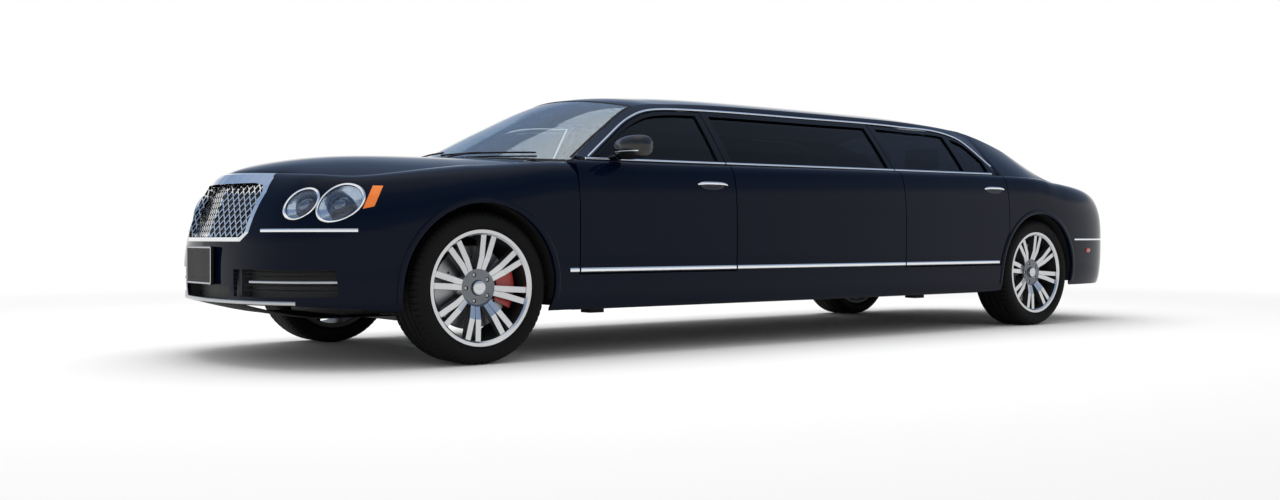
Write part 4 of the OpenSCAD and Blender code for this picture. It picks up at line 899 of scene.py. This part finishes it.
for side, sign in SIDES:
    bank_y = sign * 254
    moulding(f"cam_cover_{side}", [(x, bank_y, 769) for x in spaced(2090, 2720, 30)], upwards,
             lambda u: 44 * min(1, 0.6 + 14 * u * (1 - u)), 30, cast, "car", "cast_iron")
    caps = [turned(coil_cap, 24, lambda u, w, v: (2145 + 104 * k + u, bank_y + v, w)) for k in range(6)]
    piece(f"coil_caps_{side}", *gathered(caps), soft_trim, "car", "black_plastic")
    moulding(f"coolant_hose_{side}", on_side(hose, sign), lambda u, p: (0, 1, 0), 24, 24, soft_trim, "car",
             "black_plastic", round_bar(18))


# Roof, pillars and rear quarters: one welded, painted shell; the cowl and rear scuttle below the
# screens are black plastic.
def side_y(q, z):
    """The half width of the sides above the belt."""
    t = (z - belt(q)) / (cant_z - belt(q))
    base = plan(s_of(q))[1] - 90
    return mixed(base, cant_y, t) + 40 * t * (1 - t)


WINDOW_TOP = [(560, 934), (650, 994), (830, 1110), (1026, 1227), (1214, 1292), (1500, 1314), (2400, 1320),
              (3310, 1316), (3850, 1263), (4055, 1022), (4210, 858)]


def window_top(q):
    return column(WINDOW_TOP, q, 1)


def frame_ends(q):
    if q < door2_rear + 1:
        z = max(window_top(q), belt(q) + 4 + door_gap)
        low = (side_y(q, z), z)
    else:
        x, y, z = body_point(TAIL, s_of(q), 1)
        low = (y + 5, z - 6)
    return low, (column(ROOF, q, 1), column(ROOF, q, 2))


def frame_point(q, w, inner=False):
    (y0, z0), (y1, z1) = frame_ends(q)
    if inner:
        return back(q), max(y1, mixed(y0 - 45, y1, w)), mixed(z0, z1 - 38, w)
    return back(q), mixed(y0, y1, w) + 20 * w * (1 - w), mixed(z0, z1, w)


def squarish(a, power):
    """A point at angle a of a rounded square whose half width is 1."""
    return tuple(math.copysign(abs(t) ** power, t) for t in (math.cos(a), math.sin(a)))


def tail_lamp_outline(n, grow=0):
    """The outline of the left tail lamp from behind, as (y, z)."""
    corners = [squarish(2 * math.pi * i / n, 0.6) for i in range(n)]
    return [(705 + (95 + grow) * u, 760 + (70 + grow) * v) for u, v in corners]


headlining = coating("headlining", [(0.30, 0.27, 0.23), (0.36, 0.33, 0.29)], 0.85, 800, bump=0.3)
frame_q = spaced(670, door2_rear, 170) + spaced(door2_rear + door_gap, 4929, 50)
frame_out = [[frame_point(q, w) for w in spaced(0, 1, 12)] for q in frame_q]
frame_inner = [[frame_point(q, w, True) for w in spaced(0, 1, 12)] for q in frame_q]
two_sides("side_frame", *sheet_faces(frame_out, frame_inner), [frame_out, frame_inner], [], [paint], "car", "paint",
          "side_frames")
quarter_places = spaced(s_of(wheelbase - quarter_r), 2, 60) + spaced(2.01, 2.84, 70)
quarter_out, quarter_in = skin(TAIL, quarter_places, low_edge(rear_x, 242, rear_bumper_top + seam),
                               lambda s: above_all)
door_side_x = rear_x + 343.5
ahead = [(door_side_x, 0)]
ahead += [(rear_x + quarter_r * math.cos(a), wheel_r + quarter_r * math.sin(a)) for a in spaced(-0.5, 0.663, 40)]
ahead += [(door_side_x, cant_z), (rear_x + 600, cant_z), (rear_x + 600, 0)]
quarter_cuts = [arch_tool(rear_x, arch_r),
                prism(tail_lamp_outline(64, seam), lambda u, v, w: (w, u, v), tail_x - 60, tail_x + 500),
                block_tool((tail_x - 50, -half_w, 0), (rear_x - 500, 566.5, cant_z)),
                prism(ahead, lambda u, v, w: (u, w, v), 400, 1035)]
two_sides("rear_quarter", *sheet_faces(quarter_out, quarter_in), [quarter_out, quarter_in], quarter_cuts, [paint],
          "car", "paint", "side_frames")
arch_lip("rear_arch_lip", TAIL, rear_x)
roof_q = spaced(1150.3, 4009.7, 110)
roof_out = [[roof_point(q, k) for k in across] for q in roof_q]
roof_in = [[roof_point(q, k, 24) for k in across] for q in roof_q]
panel("roof_skin", carved(*sheet_faces(roof_out, roof_in)), [roof_out, roof_in], [paint, headlining], "car",
      "roof_panel", lambda face: int(face.normal.z < -0.5))
scuttle_black = coating("scuttle_plastic", [(0.006, 0.006, 0.0065), (0.011, 0.011, 0.0115)], 0.55, 600, bump=0.4,
                        IOR=1.3)
dress("cowl", scuttle_black)


# Doors and stretch panels: thick shells in body colour with trimmed inner faces and padded
# armrests, open for their windows; the doors hang on two pins at their front edges.
def wall_point(q, j, nl, nu, z0, top):
    """Point j up a door's side: nl steps to the belt, then nu to the top of the frame."""
    if j <= nl:
        return body_point(CABIN, s_of(q), mixed(height_place(CABIN, s_of(q), z0), 1, j / nl))
    z = mixed(belt(q) + 2, top, (j - nl - 1) / (nu - 1))
    return back(q), side_y(q, z), z


def wall(q0, q1, columns, z0, top, top_in, taper):
    """A thick side from q0 to q1: its mesh, and its grids below and above the belt."""
    nl, nu = 26, 14
    outer, inner = [], []
    for q in spaced(q0, q1, columns):
        qi = min(q, q1 - taper * (q - q0) / (q1 - q0))
        outer.append([wall_point(q, j, nl, nu, z0, top(q)) for j in range(nl + nu + 1)])
        line = [wall_point(q, j, nl, nu, z0, top_in(q)) for j in range(nl + nu + 1)]
        inner.append([(back(qi), 850 if j <= nl else side_y(q, z) - 42, z) for j, (x, y, z) in enumerate(line)])
    grids = [[row[:nl + 1] for row in outer], [row[nl + 1:] for row in outer]]
    grids += [[row[:nl + 1] for row in inner], [row[nl + 1:] for row in inner]]
    return sheet_faces(outer, inner), grids


def window_outline(q0, q1, inset):
    qs = spaced(q0 + inset, q1 - inset, 40)
    low = [(back(q), belt(q) + 24 + inset) for q in qs]
    return low + [(back(q), max(belt(q) + 32, window_top(q) - 28) - inset) for q in reversed(qs)]


def window_tool(window, inset=0.0):
    return prism(window_outline(*window, inset), lambda u, v, w: (u, w, v), 300, half_w)


def door_top(q):
    return max(belt(q) + 4, window_top(q) - door_gap)


def inner_top(q):
    return max(belt(q) + 4, min(window_top(q), window_top(q + 40)) - door_gap)


def fixed_top(q):
    return window_top(q) - 0.6


FRONT_WINDOWS, STRETCH_WINDOWS = [(715, 1542)], [(1642, 2953)]
REAR_WINDOWS = [(3053, 3710), (3765, 3970)]
hinge_heights, pin_back, pin_y, door_low = (520, 740), 120, 955, 425


def hinge_tools(q):
    """Pockets in a door's front edge, one at each hinge."""
    x0, x1 = back(q + pin_back) - 15, back(q) + 1
    return [prism([(x0, z - 35), (x1, z - 35), (x1, z + 35), (x0, z + 35)], lambda u, v, w: (u, w, v), 849, 962)
            for z in hinge_heights]


def finish_of(face):
    """Paint outside, trim inside, gloss black round the glass above the belt."""
    if abs(face.normal.y) > 0.6 and face.normal.y * face.center.y < 0:
        return 1
    return 2 if face.center.z > 0.001 * (belt(front_x - 1000 * face.center.x) + 1.5) else 0


door_trim = coating("door_trim", [(0.36, 0.28, 0.2), (0.43, 0.34, 0.25)], 0.55, 520, bump=0.4)
frame_black = coating("window_frame_black", [(0.0016, 0.0026, 0.0052), (0.003, 0.0044, 0.008)], 0.1, 300, bump=0.0,
                      swing=0.04, IOR=1.22)
side_finishes = [paint, door_trim, frame_black]
shape, grids = wall(door1_front, door1_rear - door_gap, 70, door_low, door_top, door_top, 30)
two_sides("front_door_shell", *shape, grids, [window_tool(w) for w in FRONT_WINDOWS] + hinge_tools(door1_front),
          side_finishes, "front_door_{}", "paint", "front_door_{}", finish_of)


def arch_cone(u, v, w):
    """The rear wheel's arch through a door, narrower outside so that the door swings clear."""
    r = mixed(486, 442.5, (w - 848) / 139)
    return rear_x + u * r, w, wheel_r + v * r


shape, grids = wall(door2_front, door2_rear, 80, door_low, door_top, inner_top, 30)
rear_cuts = [window_tool(w) for w in REAR_WINDOWS] + hinge_tools(door2_front)
two_sides("rear_door_shell", *shape, grids, rear_cuts + [prism(ring_outline(1), arch_cone, 848, 987)],
          side_finishes, "rear_door_{}", "paint", "rear_door_{}", finish_of)
shape, grids = wall(door1_rear, door2_front - door_gap, 80, sill_top + seam, fixed_top, fixed_top, 0)
two_sides("stretch_shell", *shape, grids, [window_tool(w) for w in STRETCH_WINDOWS], side_finishes, "car", "paint",
          "stretch_panels", finish_of)
BAR = [(-1, -0.85), (-1, 0.85), (-0.7, 1), (0.7, 1), (1, 0.85), (1, -0.85), (0.7, -1), (-0.7, -1)]
pin = [(0, -46), (5, -46), (6, -45), (6, 45), (5, 46), (0, 46)]
knuckle = [(6.1, -28), (11, -28), (12, -27), (12, 27), (11, 28), (6.1, 28)]
for side, sign in SIDES:
    for where, q, rest in (("front", door1_front, (920, 1540)), ("rear", door2_front, (-1520, -800))):
        x = back(q + pin_back)
        arm = [(back(q) + 40, 815), (x + 40, 815), (x + 14, 817), (x + 3, 824), (x, 838), (x, 943.5)]
        for k, z in enumerate(hinge_heights):
            def at_pin(u, w, v, z=z, x=x, sign=sign):
                return x + u, sign * (pin_y + v), z + w
            piece(f"{where}_hinge_pin_{k}_{side}", *turned(pin, 24, at_pin), forged, f"{where}_door_{side}", "steel")
            if where == "rear":
                piece(f"rear_hinge_knuckle_{k}_{side}", *turned(knuckle, 24, at_pin), forged, "car", "steel")
                moulding(f"rear_hinge_arm_{k}_{side}", [(u, sign * v, z) for u, v in arm], upwards, 8, 22, forged,
                         "car", "steel", BAR)
        if where == "rear":
            moulding(f"rear_hinge_post_{side}", [(back(q) + 29, sign * 826, z) for z in spaced(470, 790, 8)],
                     lambda u, p: (1, 0, 0), 27, 21, soft_trim, "car", "paint", BAR)
        y0, y1 = sorted((sign * 794, sign * 849.5))
        cushion(f"{where}_armrest_{side}", (rest[0], y0, 612), (rest[1], y1, 684), 0, (0, 0, 0), [], (2,),
                f"{where}_door_{side}")


# Rear bumper and boot lid: painted like the rest; the lid's deck and tail face are one piece,
# hinged at its front corners over a carpeted boot with a rubber seal along its sill, and the
# pipes leave through the bumper below.
bumper_end = place_at(rear_x - 300, 1.5, 3)
tail_places = spaced(bumper_end, 6 - bumper_end, 150)
tail_out, tail_in = skin(TAIL, tail_places, lambda s: 270, lambda s: rear_bumper_top, 24)
pipe_y, pipe_z = 555, 330
tail_cuts = []
for _, sign in SIDES:
    tail_cuts += [arch_tool(rear_x, arch_r, sign),
                  prism(ring_outline(48, 64), lambda u, v, w: (w, sign * pipe_y + u, pipe_z + v), tail_x - 20,
                        tail_x + 220)]
panel("rear_bumper_cover", carved(*sheet_faces(tail_out, tail_in), tail_cuts), [tail_out, tail_in], [paint], "car",
      "rear_bumper")


def lid_point(p, k):
    def soft(p):
        b = body_point(TAIL, 3, 1)
        z = column(ROOF, 4930, 2) + column(ROOF, 4930, 3)
        middle = (mixed(back(5072), b[0], p), 0, mixed(z - 14, b[2], p) + 88 * p * (1 - p))
        return spread(middle, rim_in(TAIL, mixed(2.185, 2.6, p), door_gap), k)
    edge = rim_in(TAIL, 3 - k * 0.4, mixed(-4, door_gap, abs(k) ** 8))
    return tuple(c + (e - s) * p ** 3 for c, e, s in zip(soft(p), edge, soft(1)))


lid("boot_deck", [[lid_point(p, k) for k in across] for p in spaced(0, 1, 30)], "boot_lid")
face_out, face_in = skin(TAIL, spaced(2.5, 3.5, 110), lambda s: rear_bumper_top + door_gap, lambda s: above_all, 30)
face_block = block_tool((tail_x - 50, -560, 0), (rear_x - 500, 560, cant_z))
panel("boot_face", carved(*sheet_faces(face_out, face_in), [], [face_block]), [face_out, face_in], [paint],
      "boot_lid", "boot_lid")
hinge_lugs("boot_lid", -2681.96, 562.979, 978.11, -1)
carpet = coating("boot_carpet", [(0.010, 0.010, 0.011), (0.022, 0.021, 0.021)], 0.95, 900, bump=0.6, depth=0.001,
                 IOR=1.2)
for side, sign in SIDES:
    rows = [[on_side([on_body(TAIL, s, z, d) for z in spaced(300, 880, 24)], sign) for s in spaced(2.112, 2.655, 50)]
            for d in (27, 35)]
    piece(f"boot_side_trim_{side}", *sheet_faces(*rows), carpet, "car", "black_plastic")


def tail_outward(u, p):
    return (p.x + 2300, p.y * 0.9, 0)


moulding("boot_seal", [on_body(TAIL, s, 597, 30) for s in spaced(2.36, 3.64, 90)], tail_outward, 8, 7, soft_trim,
         "car", "black_plastic")


# Glass: laminated screens with a light grey-blue tint in black seals, dark glass in the doors and
# beside the passengers, all bonded into their frames; a mirror hangs from the windscreen's top.
def tinted(name, colour, rough, ior):
    return coating(name, [colour, tuple(1.03 * c for c in colour)], rough, 30, bump=0.0, swing=0.01,
                   Transmission_Weight=1.0, IOR=ior)


screen_glass = tinted("screen_glass", (0.60, 0.70, 0.76), 0.01, 1.9)
side_glass = tinted("side_glass", (0.010, 0.016, 0.026), 0.01, 1.25)
privacy_glass = tinted("privacy_glass", (0.006, 0.009, 0.015), 0.01, 1.22)
for name, low, high in (("windscreen", 640, 1150), ("rear_screen", 4010, 4930)):
    glass_out = [[roof_point(q, k) for k in across] for q in spaced(low, high, 60)]
    glass_in = [[(x, y, z - 6) for x, y, z in row] for row in glass_out]
    panel(name, carved(*sheet_faces(glass_out, glass_in)), [glass_out, glass_in], [screen_glass], "car",
          "screens")
for node in ("front_glass_left", "front_glass_right"):
    dress(node, side_glass)
for node in ("stretch_glass", "rear_glass_left", "rear_glass_right"):
    dress(node, privacy_glass)
for name, top, low, lean in (("front", 1152, 660, 0.6), ("rear", 4008, 4900, -0.6)):
    edge = [roof_point(q, 0.988) for q in spaced(low, top, 24)]
    edge += [roof_point(top, k) for k in spaced(0.97, -0.97, 40)]
    edge += [roof_point(q, -0.988) for q in spaced(top, low, 24)]
    moulding(f"{name}_screen_seal", edge, lambda u, p: (lean, 0.0008 * p.y, 1), 8, 2.5, scuttle_black, "car",
             "black_plastic")
glass_foot, mirror_half = Vector(roof_point(1060, 0, 18)), 124
rings = []
for y in spaced(-mirror_half, mirror_half, 30):
    bow = (y / mirror_half) ** 2
    f = max(0.02, 1 - abs(y / mirror_half) ** 5) ** 0.5
    rings.append([tuple(glass_foot + Vector((-52 + 15 * f * math.cos(a) - 6 * bow, y, -44 + 36 * f * math.sin(a))))
                  for a in turns(28)])
piece("cabin_mirror", *loft(rings), soft_trim, "car", "black_plastic")
stem = [tuple(glass_foot + Vector(v)) for v in ((-4, 0, 2), (-14, 0, -12), (-26, 0, -26), (-40, 0, -38))]
moulding("cabin_mirror_stem", stem, lambda u, p: (0, 1, 0), 9, 12, soft_trim, "car", "black_plastic", round_bar(12))


# Bright strips: rolled stainless mouldings clipped along the window line, the belt, the sills,
# the bumpers' upper edges and the front lip, split wherever a door opens.
chrome = coating("bright_chrome", [(0.78, 0.79, 0.80), (0.82, 0.83, 0.84)], 0.06, 40, metal=1.0, bump=0.0, swing=0.03)
satin = coating("satin_metal", [(0.42, 0.43, 0.44), (0.5, 0.5, 0.51)], 0.32, 300, metal=1.0)
gloss_black = coating("gloss_black", [(0.006, 0.006, 0.007), (0.010, 0.010, 0.011)], 0.12, 300, bump=0.0, swing=0.05)


def nose_outward(u, p):
    return (p.x - 1900, p.y * 0.9, 0)


belt_strip, sill_strip_z, lamp_strip_z, intake_strip_z, lip_z, rear_strip_z = 13, 441, 633, 396, 304, 590
for side, sign in SIDES:
    doors = {"front": f"front_door_{side}", "rear": f"rear_door_{side}"}

    def slope(u, p, sign=sign):
        return (0, sign, 0.55)

    def level(u, p, sign=sign):
        return (0, sign, 0.05)
    path = [frame_point(q, 0.2) for q in spaced(676, 4052, 190)]
    moulding(f"window_strip_{side}", on_side(path, sign), slope, 5.5, 4, chrome, "car", "chrome")
    for name, q0, q1 in (("front", 640, door1_rear - 8), ("stretch", door1_rear + 1, door2_front - 8),
                         ("rear", door2_front + 1, 3996)):
        path = [(back(q), side_y(q, belt(q) + belt_strip), belt(q) + belt_strip) for q in spaced(q0, q1, 30)]
        moulding(f"belt_{name}_{side}", on_side(path, sign), slope, 6, 4.5, chrome, doors.get(name, "car"), "chrome")
    for name, q0, q1, table in (("wing", 482, door1_front - 8, NOSE),
                                ("front", door1_front + 2, door1_rear - 9, CABIN),
                                ("stretch", door1_rear + 2, door2_front - 9, CABIN),
                                ("rear", door2_front + 2, 3952, CABIN)):
        path = [on_body(table, s_of(q), sill_strip_z) for q in spaced(q0, q1, 30)]
        moulding(f"sill_strip_{name}_{side}", on_side(path, sign), level, 9.5, 5, chrome, doors.get(name, "car"),
                 "chrome")
    path = [on_body(NOSE, s, lamp_strip_z) for s in spaced(0.345, 0.70, 40)]
    moulding(f"lamp_strip_{side}", on_side(path, sign), nose_outward, 8, 5, chrome, "car", "chrome")
    path = [on_body(NOSE, s, intake_strip_z, 10) for s in spaced(0.30, 0.68, 30)]
    moulding(f"intake_strip_{side}", on_side(path, sign), nose_outward, 6, 4, satin, "car", "chrome")
moulding("front_lip", [on_body(NOSE, s, lip_z) for s in spaced(-0.5, 0.5, 60)], nose_outward, 9, 5, satin, "car",
         "chrome")
moulding("rear_strip", [on_body(TAIL, s, rear_strip_z) for s in spaced(2.105, 3.895, 160)], tail_outward, 6.5, 4,
         chrome, "car", "chrome")


# Door handles: a bright cast bar bowed over a shallow gloss-black cup in the skin, one fixed near
# the rear edge of each door, below the glass.
cup = [(0, -3), (1.0, -3), (1.0, 0.4), (0.96, 1.2), (0.85, 0.9), (0.5, 0.3), (0, 0.2)]
cup_u, cup_v, bar_half = 82, 20, 104
for side, sign in SIDES:
    for name, q, z in (("front", 1420, 880), ("rear", 3910, 915)):
        def on_door(u, v, lift, q=q, z=z, sign=sign):
            x, y, h = on_body(CABIN, s_of(q + u), z + v, -lift)
            return x, sign * y, h
        rings = [[on_door(cup_u * r * math.cos(a), cup_v * r * math.sin(a), h) for a in turns(40)] for r, h in cup]
        piece(f"handle_cup_{name}_{side}", *loft(rings), gloss_black, f"{name}_door_{side}", "black_plastic")
        bar = [on_door(u, 5, 14 * (1 - abs(u / bar_half) ** 4)) for u in spaced(-bar_half, bar_half, 36)]
        moulding(f"handle_{name}_{side}", bar, lambda u, p: (0, sign, 0.2),
                 lambda u: 4 + 4.5 * (1 - (2 * u - 1) ** 6), 8, chrome, f"{name}_door_{side}", "chrome",
                 round_bar(14))


# Grille and lower intakes: a bright surround and crossed mesh over a dark radiator core, dark
# slats and cheeks behind the bumper's openings, and a black moulded tray under the engine.
core = coating("radiator_core", [(0.012, 0.013, 0.014), (0.03, 0.031, 0.033)], 0.6, 220, bump=0.6, depth=0.002)
dress("grille_surround", chrome)
dress("grille_mesh", chrome)


def backing(name, places, rows):
    """A dark sheet behind an opening; rows give height and distance in from the outline."""
    grids = [[[inside(s, d + thick, z + 0.2 * thick) for z, d in rows] for s in places] for thick in (0, 12)]
    return piece(name, *sheet_faces(*grids), core, "car", "black_plastic")


def tray_point(x, f, drop):
    """A point of the tray: it narrows and rises towards the nose and is ribbed along its length."""
    rise = 82 * max(0, (x - 2860) / 400) ** 1.5 + 3 * math.cos(14 * f)
    return x, f * mixed(400, 330, max(0, x - 2900) / 360), 216 - drop + rise


backing("radiator", spaced(-grille_s, grille_s, 30), [(596, 108), (660, 112), (730, 122), (800, 142), (840, 168)])
tray = [[[tray_point(x, f, drop) for f in spaced(-1, 1, 60)] for x in spaced(2490, 3260, 24)] for drop in (0, 4)]
piece("engine_tray", *sheet_faces(*tray), scuttle_black, "car", "black_plastic")
backing("intake_back", spaced(-0.71, 0.71, 60), [(290, 26), (292, 60), (300, 72), (350, 76), (410, 76), (475, 74)])
for side, sign in SIDES:
    cheek = [(0.232, 22), (0.232, 74), (0.246, 74), (0.246, 22)]
    rings = [on_side([inside(s, d, z) for s, d in cheek], sign) for z in spaced(296, 470, 12)]
    piece(f"intake_cheek_{side}", *loft(rings), core, "car", "black_plastic")
for k, z in enumerate((345, 372, 420, 442)):
    slat = [on_body(NOSE, s, z, 26) for s in spaced(0.27, 0.69, 30)]
    for side, sign in SIDES:
        moulding(f"intake_slat_{k}_{side}", on_side(slat, sign), nose_outward, 3, 12, scuttle_black, "car",
                 "black_plastic")


# Lamps: smoked bowls, their blue-grey tint a painted sky reflection, with bright rims and a projector eye
# under clear lenses, amber markers at the wings' corners and red lamps set in the quarters.
# The bowls are smoked metal; their blue-grey tint is a painted reflection of the sky.
bowl = coating("smoked_bowl_painted_sky_tint", [(0.42, 0.47, 0.53), (0.52, 0.57, 0.62)], 0.12, 60, metal=1.0, bump=0.0)
clear_lens = tinted("lamp_lens", (0.9, 0.94, 1.0), 0.0, 1.35)
amber = coating("amber_lens", [(0.80, 0.17, 0.006), (0.86, 0.22, 0.01)], 0.12, 200, Coat_Weight=0.5)
red = coating("red_lens", [(0.36, 0.006, 0.005), (0.44, 0.010, 0.008)], 0.12, 200, Coat_Weight=0.5)
projector = coating("projector_eye", [(0.10, 0.12, 0.15), (0.16, 0.18, 0.22)], 0.08, 60, metal=1.0, bump=0.0)
dress("side_markers", amber)
dress("tail_lamps", red)
eye = [(0, -54), (34, -54), (36, -34), (33, -28), (30, -30), (29, -30), (24, -20), (14, -13), (0, -10.5)]
for side, sign in SIDES:
    for k, lamp in enumerate(LAMPS):
        spot, r = lamp_frame(lamp), lamp[2]

        def at_lamp(u, w, v, spot=spot, sign=sign):
            x, y, z = spot(u, v, w)
            return x, sign * y, z
        rim = [(r - 9.5, 5), (r - 8, 8.5), (r - 4.5, 11), (r - 0.5, 9), (r + 0.8, 6), (r - 0.5, 3), (r - 9, 2)]
        piece(f"lamp_rim_{k}_{side}", *turned(rim, 96, at_lamp), chrome, "car", "chrome")
        hollow = [(f * (r - 9), -62 + 48 * f * f) for f in spaced(0, 1, 10)]
        hollow += [(r - 9, 4), (r - 4, 8), (r - 0.4, 5), (r - 0.4, -22), (r - 8, -24)]
        hollow += [(f * (r - 8), -70 + 46 * f * f) for f in spaced(0.95, 0, 8)]
        piece(f"lamp_bowl_{k}_{side}", *turned(hollow, 96, at_lamp), bowl, "car", "chrome", ["headlamps"])
        lens = [(f * (r - 9.8), 18 - 20 * f ** 2.4) for f in spaced(0, 1, 14)]
        lens += [(f * (r - 9.8), 13 - 20 * f ** 2.4) for f in spaced(1, 0, 14)]
        piece(f"lamp_lens_{k}_{side}", *turned(lens, 96, at_lamp), clear_lens, "car", "lens", ["lamp_lenses"])
        piece(f"lamp_eye_{k}_{side}", *turned(eye, 48, at_lamp), projector, "car", "lens")
path = []
for y, z in tail_lamp_outline(96):
    s0, s1 = 2.1, 2.9
    for _ in range(24):
        s = (s0 + s1) / 2
        s0, s1 = (s, s1) if on_body(TAIL, s, z)[1] > y else (s0, s)
    path.append((on_body(TAIL, s, z)[0], y, z))
for side, sign in SIDES:
    moulding(f"tail_lamp_ring_{side}", on_side(path + path[:1], sign), tail_outward, 5, 3.5, chrome, "car", "chrome")


# Door mirrors: moulded gloss-black housings with a bright line, on short arms from the doors'
# front corners, each with a silvered plate facing back.
mirror_plate = coating("mirror_plate", [(0.7, 0.72, 0.74), (0.74, 0.76, 0.78)], 0.03, 40, metal=1.0, bump=0.0,
                       swing=0.01)
mirror_x, mirror_y, mirror_z, cut_x, cut_turn = 1494, 1030, 1056, -44, 0.06
# columns of HOUSING: distance outwards, middle forwards, middle up, radius
HOUSING = [(-112, -4, 0, 8), (-105, -5, 0, 34), (-86, -5, -2, 51), (-40, 2, -1, 59), (0, 7, 0, 62), (44, 1, 2, 62),
           (90, -10, 4, 56), (112, -13, 4, 40), (122, -14, 4, 12)]
for side, sign in SIDES:
    body = f"front_door_{side}"
    rings = []
    for y in spaced(-112, 122, 48):
        dx, dz, r = (column(HOUSING, y, c) for c in (1, 2, 3))
        corners = [squarish(a, 0.85) for a in turns(40)]
        rings.append([(mirror_x + max(dx + r * u, cut_x - cut_turn * y), sign * (mirror_y + y),
                       mirror_z + dz + 0.97 * r * v) for u, v in corners])
    piece(f"mirror_housing_{side}", *loft(rings), gloss_black, body, "black_plastic", [f"mirror_{side}"])
    rings = []
    for depth, grow in ((-43, 1.0), (-45.5, 0.97)):
        flat = [(92 * grow * u, 42 * grow * v) for u, v in (squarish(a, 0.6) for a in turns(48))]
        rings.append([(mirror_x + depth - cut_turn * (u + 5), sign * (mirror_y + 5 + u), mirror_z + 1 + v)
                      for u, v in flat])
    piece(f"mirror_plate_{side}", *loft(rings), mirror_plate, body, "glass")
    rings = []
    for f in spaced(0, 1, 10):
        x, y, z = mixed(mirror_x, 1490, f), mixed(893, 975, f), mixed(1012, 1030, f ** 1.5)
        rings.append([(x + mixed(44, 26, f) * math.cos(a), sign * y, z + mixed(14, 17, f) * math.sin(a))
                      for a in turns(20)])
    piece(f"mirror_arm_{side}", *loft(rings), gloss_black, body, "black_plastic")
    path = [(mirror_x + column(HOUSING, y, 1) + column(HOUSING, y, 3) * 0.955, mirror_y + y, 1035)
            for y in spaced(-78, 104, 24)]
    moulding(f"mirror_line_{side}", on_side(path, sign), lambda u, p: (1, 0, -0.2), 3.2, 3, chrome, body, "chrome")


# Wipers, plate holders, pipe trims and reflectors: black arms on the windscreen, blank holders
# front and rear, a bright bar on the boot, bright rings round the tail pipes, and a small red
# reflector on each rear corner.
def off_screen(u, p):
    return (0.6, 0, 0.8)


for name, k0, k1 in (("left", 0.10, 0.80), ("right", -0.62, 0.06)):
    blade = [Vector(roof_point(mixed(650, 672, f), mixed(k0, k1, f))) + Vector((6, 0, 8)) for f in spaced(0, 1, 24)]
    moulding(f"wiper_blade_{name}", blade, off_screen, 5, 6, scuttle_black, "car", "black_plastic")
    mid = blade[len(blade) // 2]
    root = Vector(roof_point(628, k0 + 0.03)) + Vector((16, 0, -8))
    arm = [root.lerp(mid, f) + Vector((0, 0, 10 * math.sin(math.pi * f) + 3)) for f in spaced(0, 1, 12)]
    moulding(f"wiper_arm_{name}", arm, off_screen, lambda u: mixed(10, 5, u), 5, scuttle_black, "car",
             "black_plastic")
plate_black = coating("plate_frame_black", [(0.003, 0.003, 0.0035), (0.006, 0.006, 0.0065)], 0.42, 500, bump=0.3,
                      IOR=1.2)
dress("plate_holder", plate_black)
for name, y0, y1, z0, z1 in (("top", -166, 166, 555, 555), ("bottom", -166, 166, 385, 385),
                             ("left", 165, 165, 385, 555), ("right", -165, -165, 385, 555)):
    path = [(3325.5, mixed(y0, y1, f), mixed(z0, z1, f)) for f in spaced(0, 1, 6)]
    moulding(f"plate_edge_{name}", path, lambda u, p: (1, 0, 0), 4.5, 3, satin, "car", "black_plastic")
plate_face = coating("blank_plate", [(0.56, 0.57, 0.57), (0.62, 0.62, 0.62)], 0.45, 150)
plate_outline = rounded([(156, 75), (-156, 75), (-156, -75), (156, -75)], 3, 0.06)
plate_x, plate_z, lean_in, lean_up = -3311.5, 712, 0.165, 0.986


def plate_rings(steps):
    """Rings of the plate's outline, leaning with the lid's face."""
    return loft([[(plate_x + lean_in * v * grow - lean_up * d, u * grow, plate_z + lean_up * v * grow + lean_in * d)
                  for u, v in plate_outline] for d, grow in steps])


holder_steps = ((-8, 1.05), (8, 1.05), (10, 1.03), (9, 1.0), (7, 0.98))
plate_steps = ((6, 0.99), (8.4, 0.99), (9.2, 0.975), (8.6, 0.955), (8.6, 0.1))
piece("rear_plate_frame", *plate_rings(holder_steps), plate_black, "boot_lid", "black_plastic")
piece("rear_plate", *plate_rings(plate_steps), plate_face, "boot_lid", "black_plastic")
boot_bar_z = 800
boot_bar = [Vector(on_body(TAIL, s, boot_bar_z)) - Vector((1, 0, 0)) for s in spaced(2.86, 3.14, 30)]
moulding("boot_bar", boot_bar, lambda u, p: (-1, 0, 0.3), 9, 8, chrome, "boot_lid", "chrome")
pipe_tip = [(43, 0), (50, -4), (54, 3), (53, 12), (47, 14), (42.5, 60), (42.5, 20)]
reflector_s, reflector_z = 2.2, 512
for side, sign in SIDES:
    tip = turned(pipe_tip, 64, lambda u, w, v: (tail_x + 40 + w, sign * pipe_y + u, pipe_z + v))
    piece(f"pipe_trim_{side}", *tip, chrome, "car", "chrome")
    middle, n = Vector(on_body(TAIL, reflector_s, reflector_z, -2)), plan_normal(reflector_s)
    outward, along = Vector((n[0], n[1], 0)), Vector((n[1], -n[0], 0))
    rings = []
    for depth, grow in ((-4, 1), (1.5, 1), (3, 0.9), (3.4, 0.4)):
        ring = [middle + along * (34 * grow * math.cos(a)) + outward * depth + Vector((0, 0, 15 * grow * math.sin(a)))
                for a in turns(32)]
        rings.append(on_side(ring, sign))
    piece(f"reflector_{side}", *loft(rings), red, "car", "red_lens")
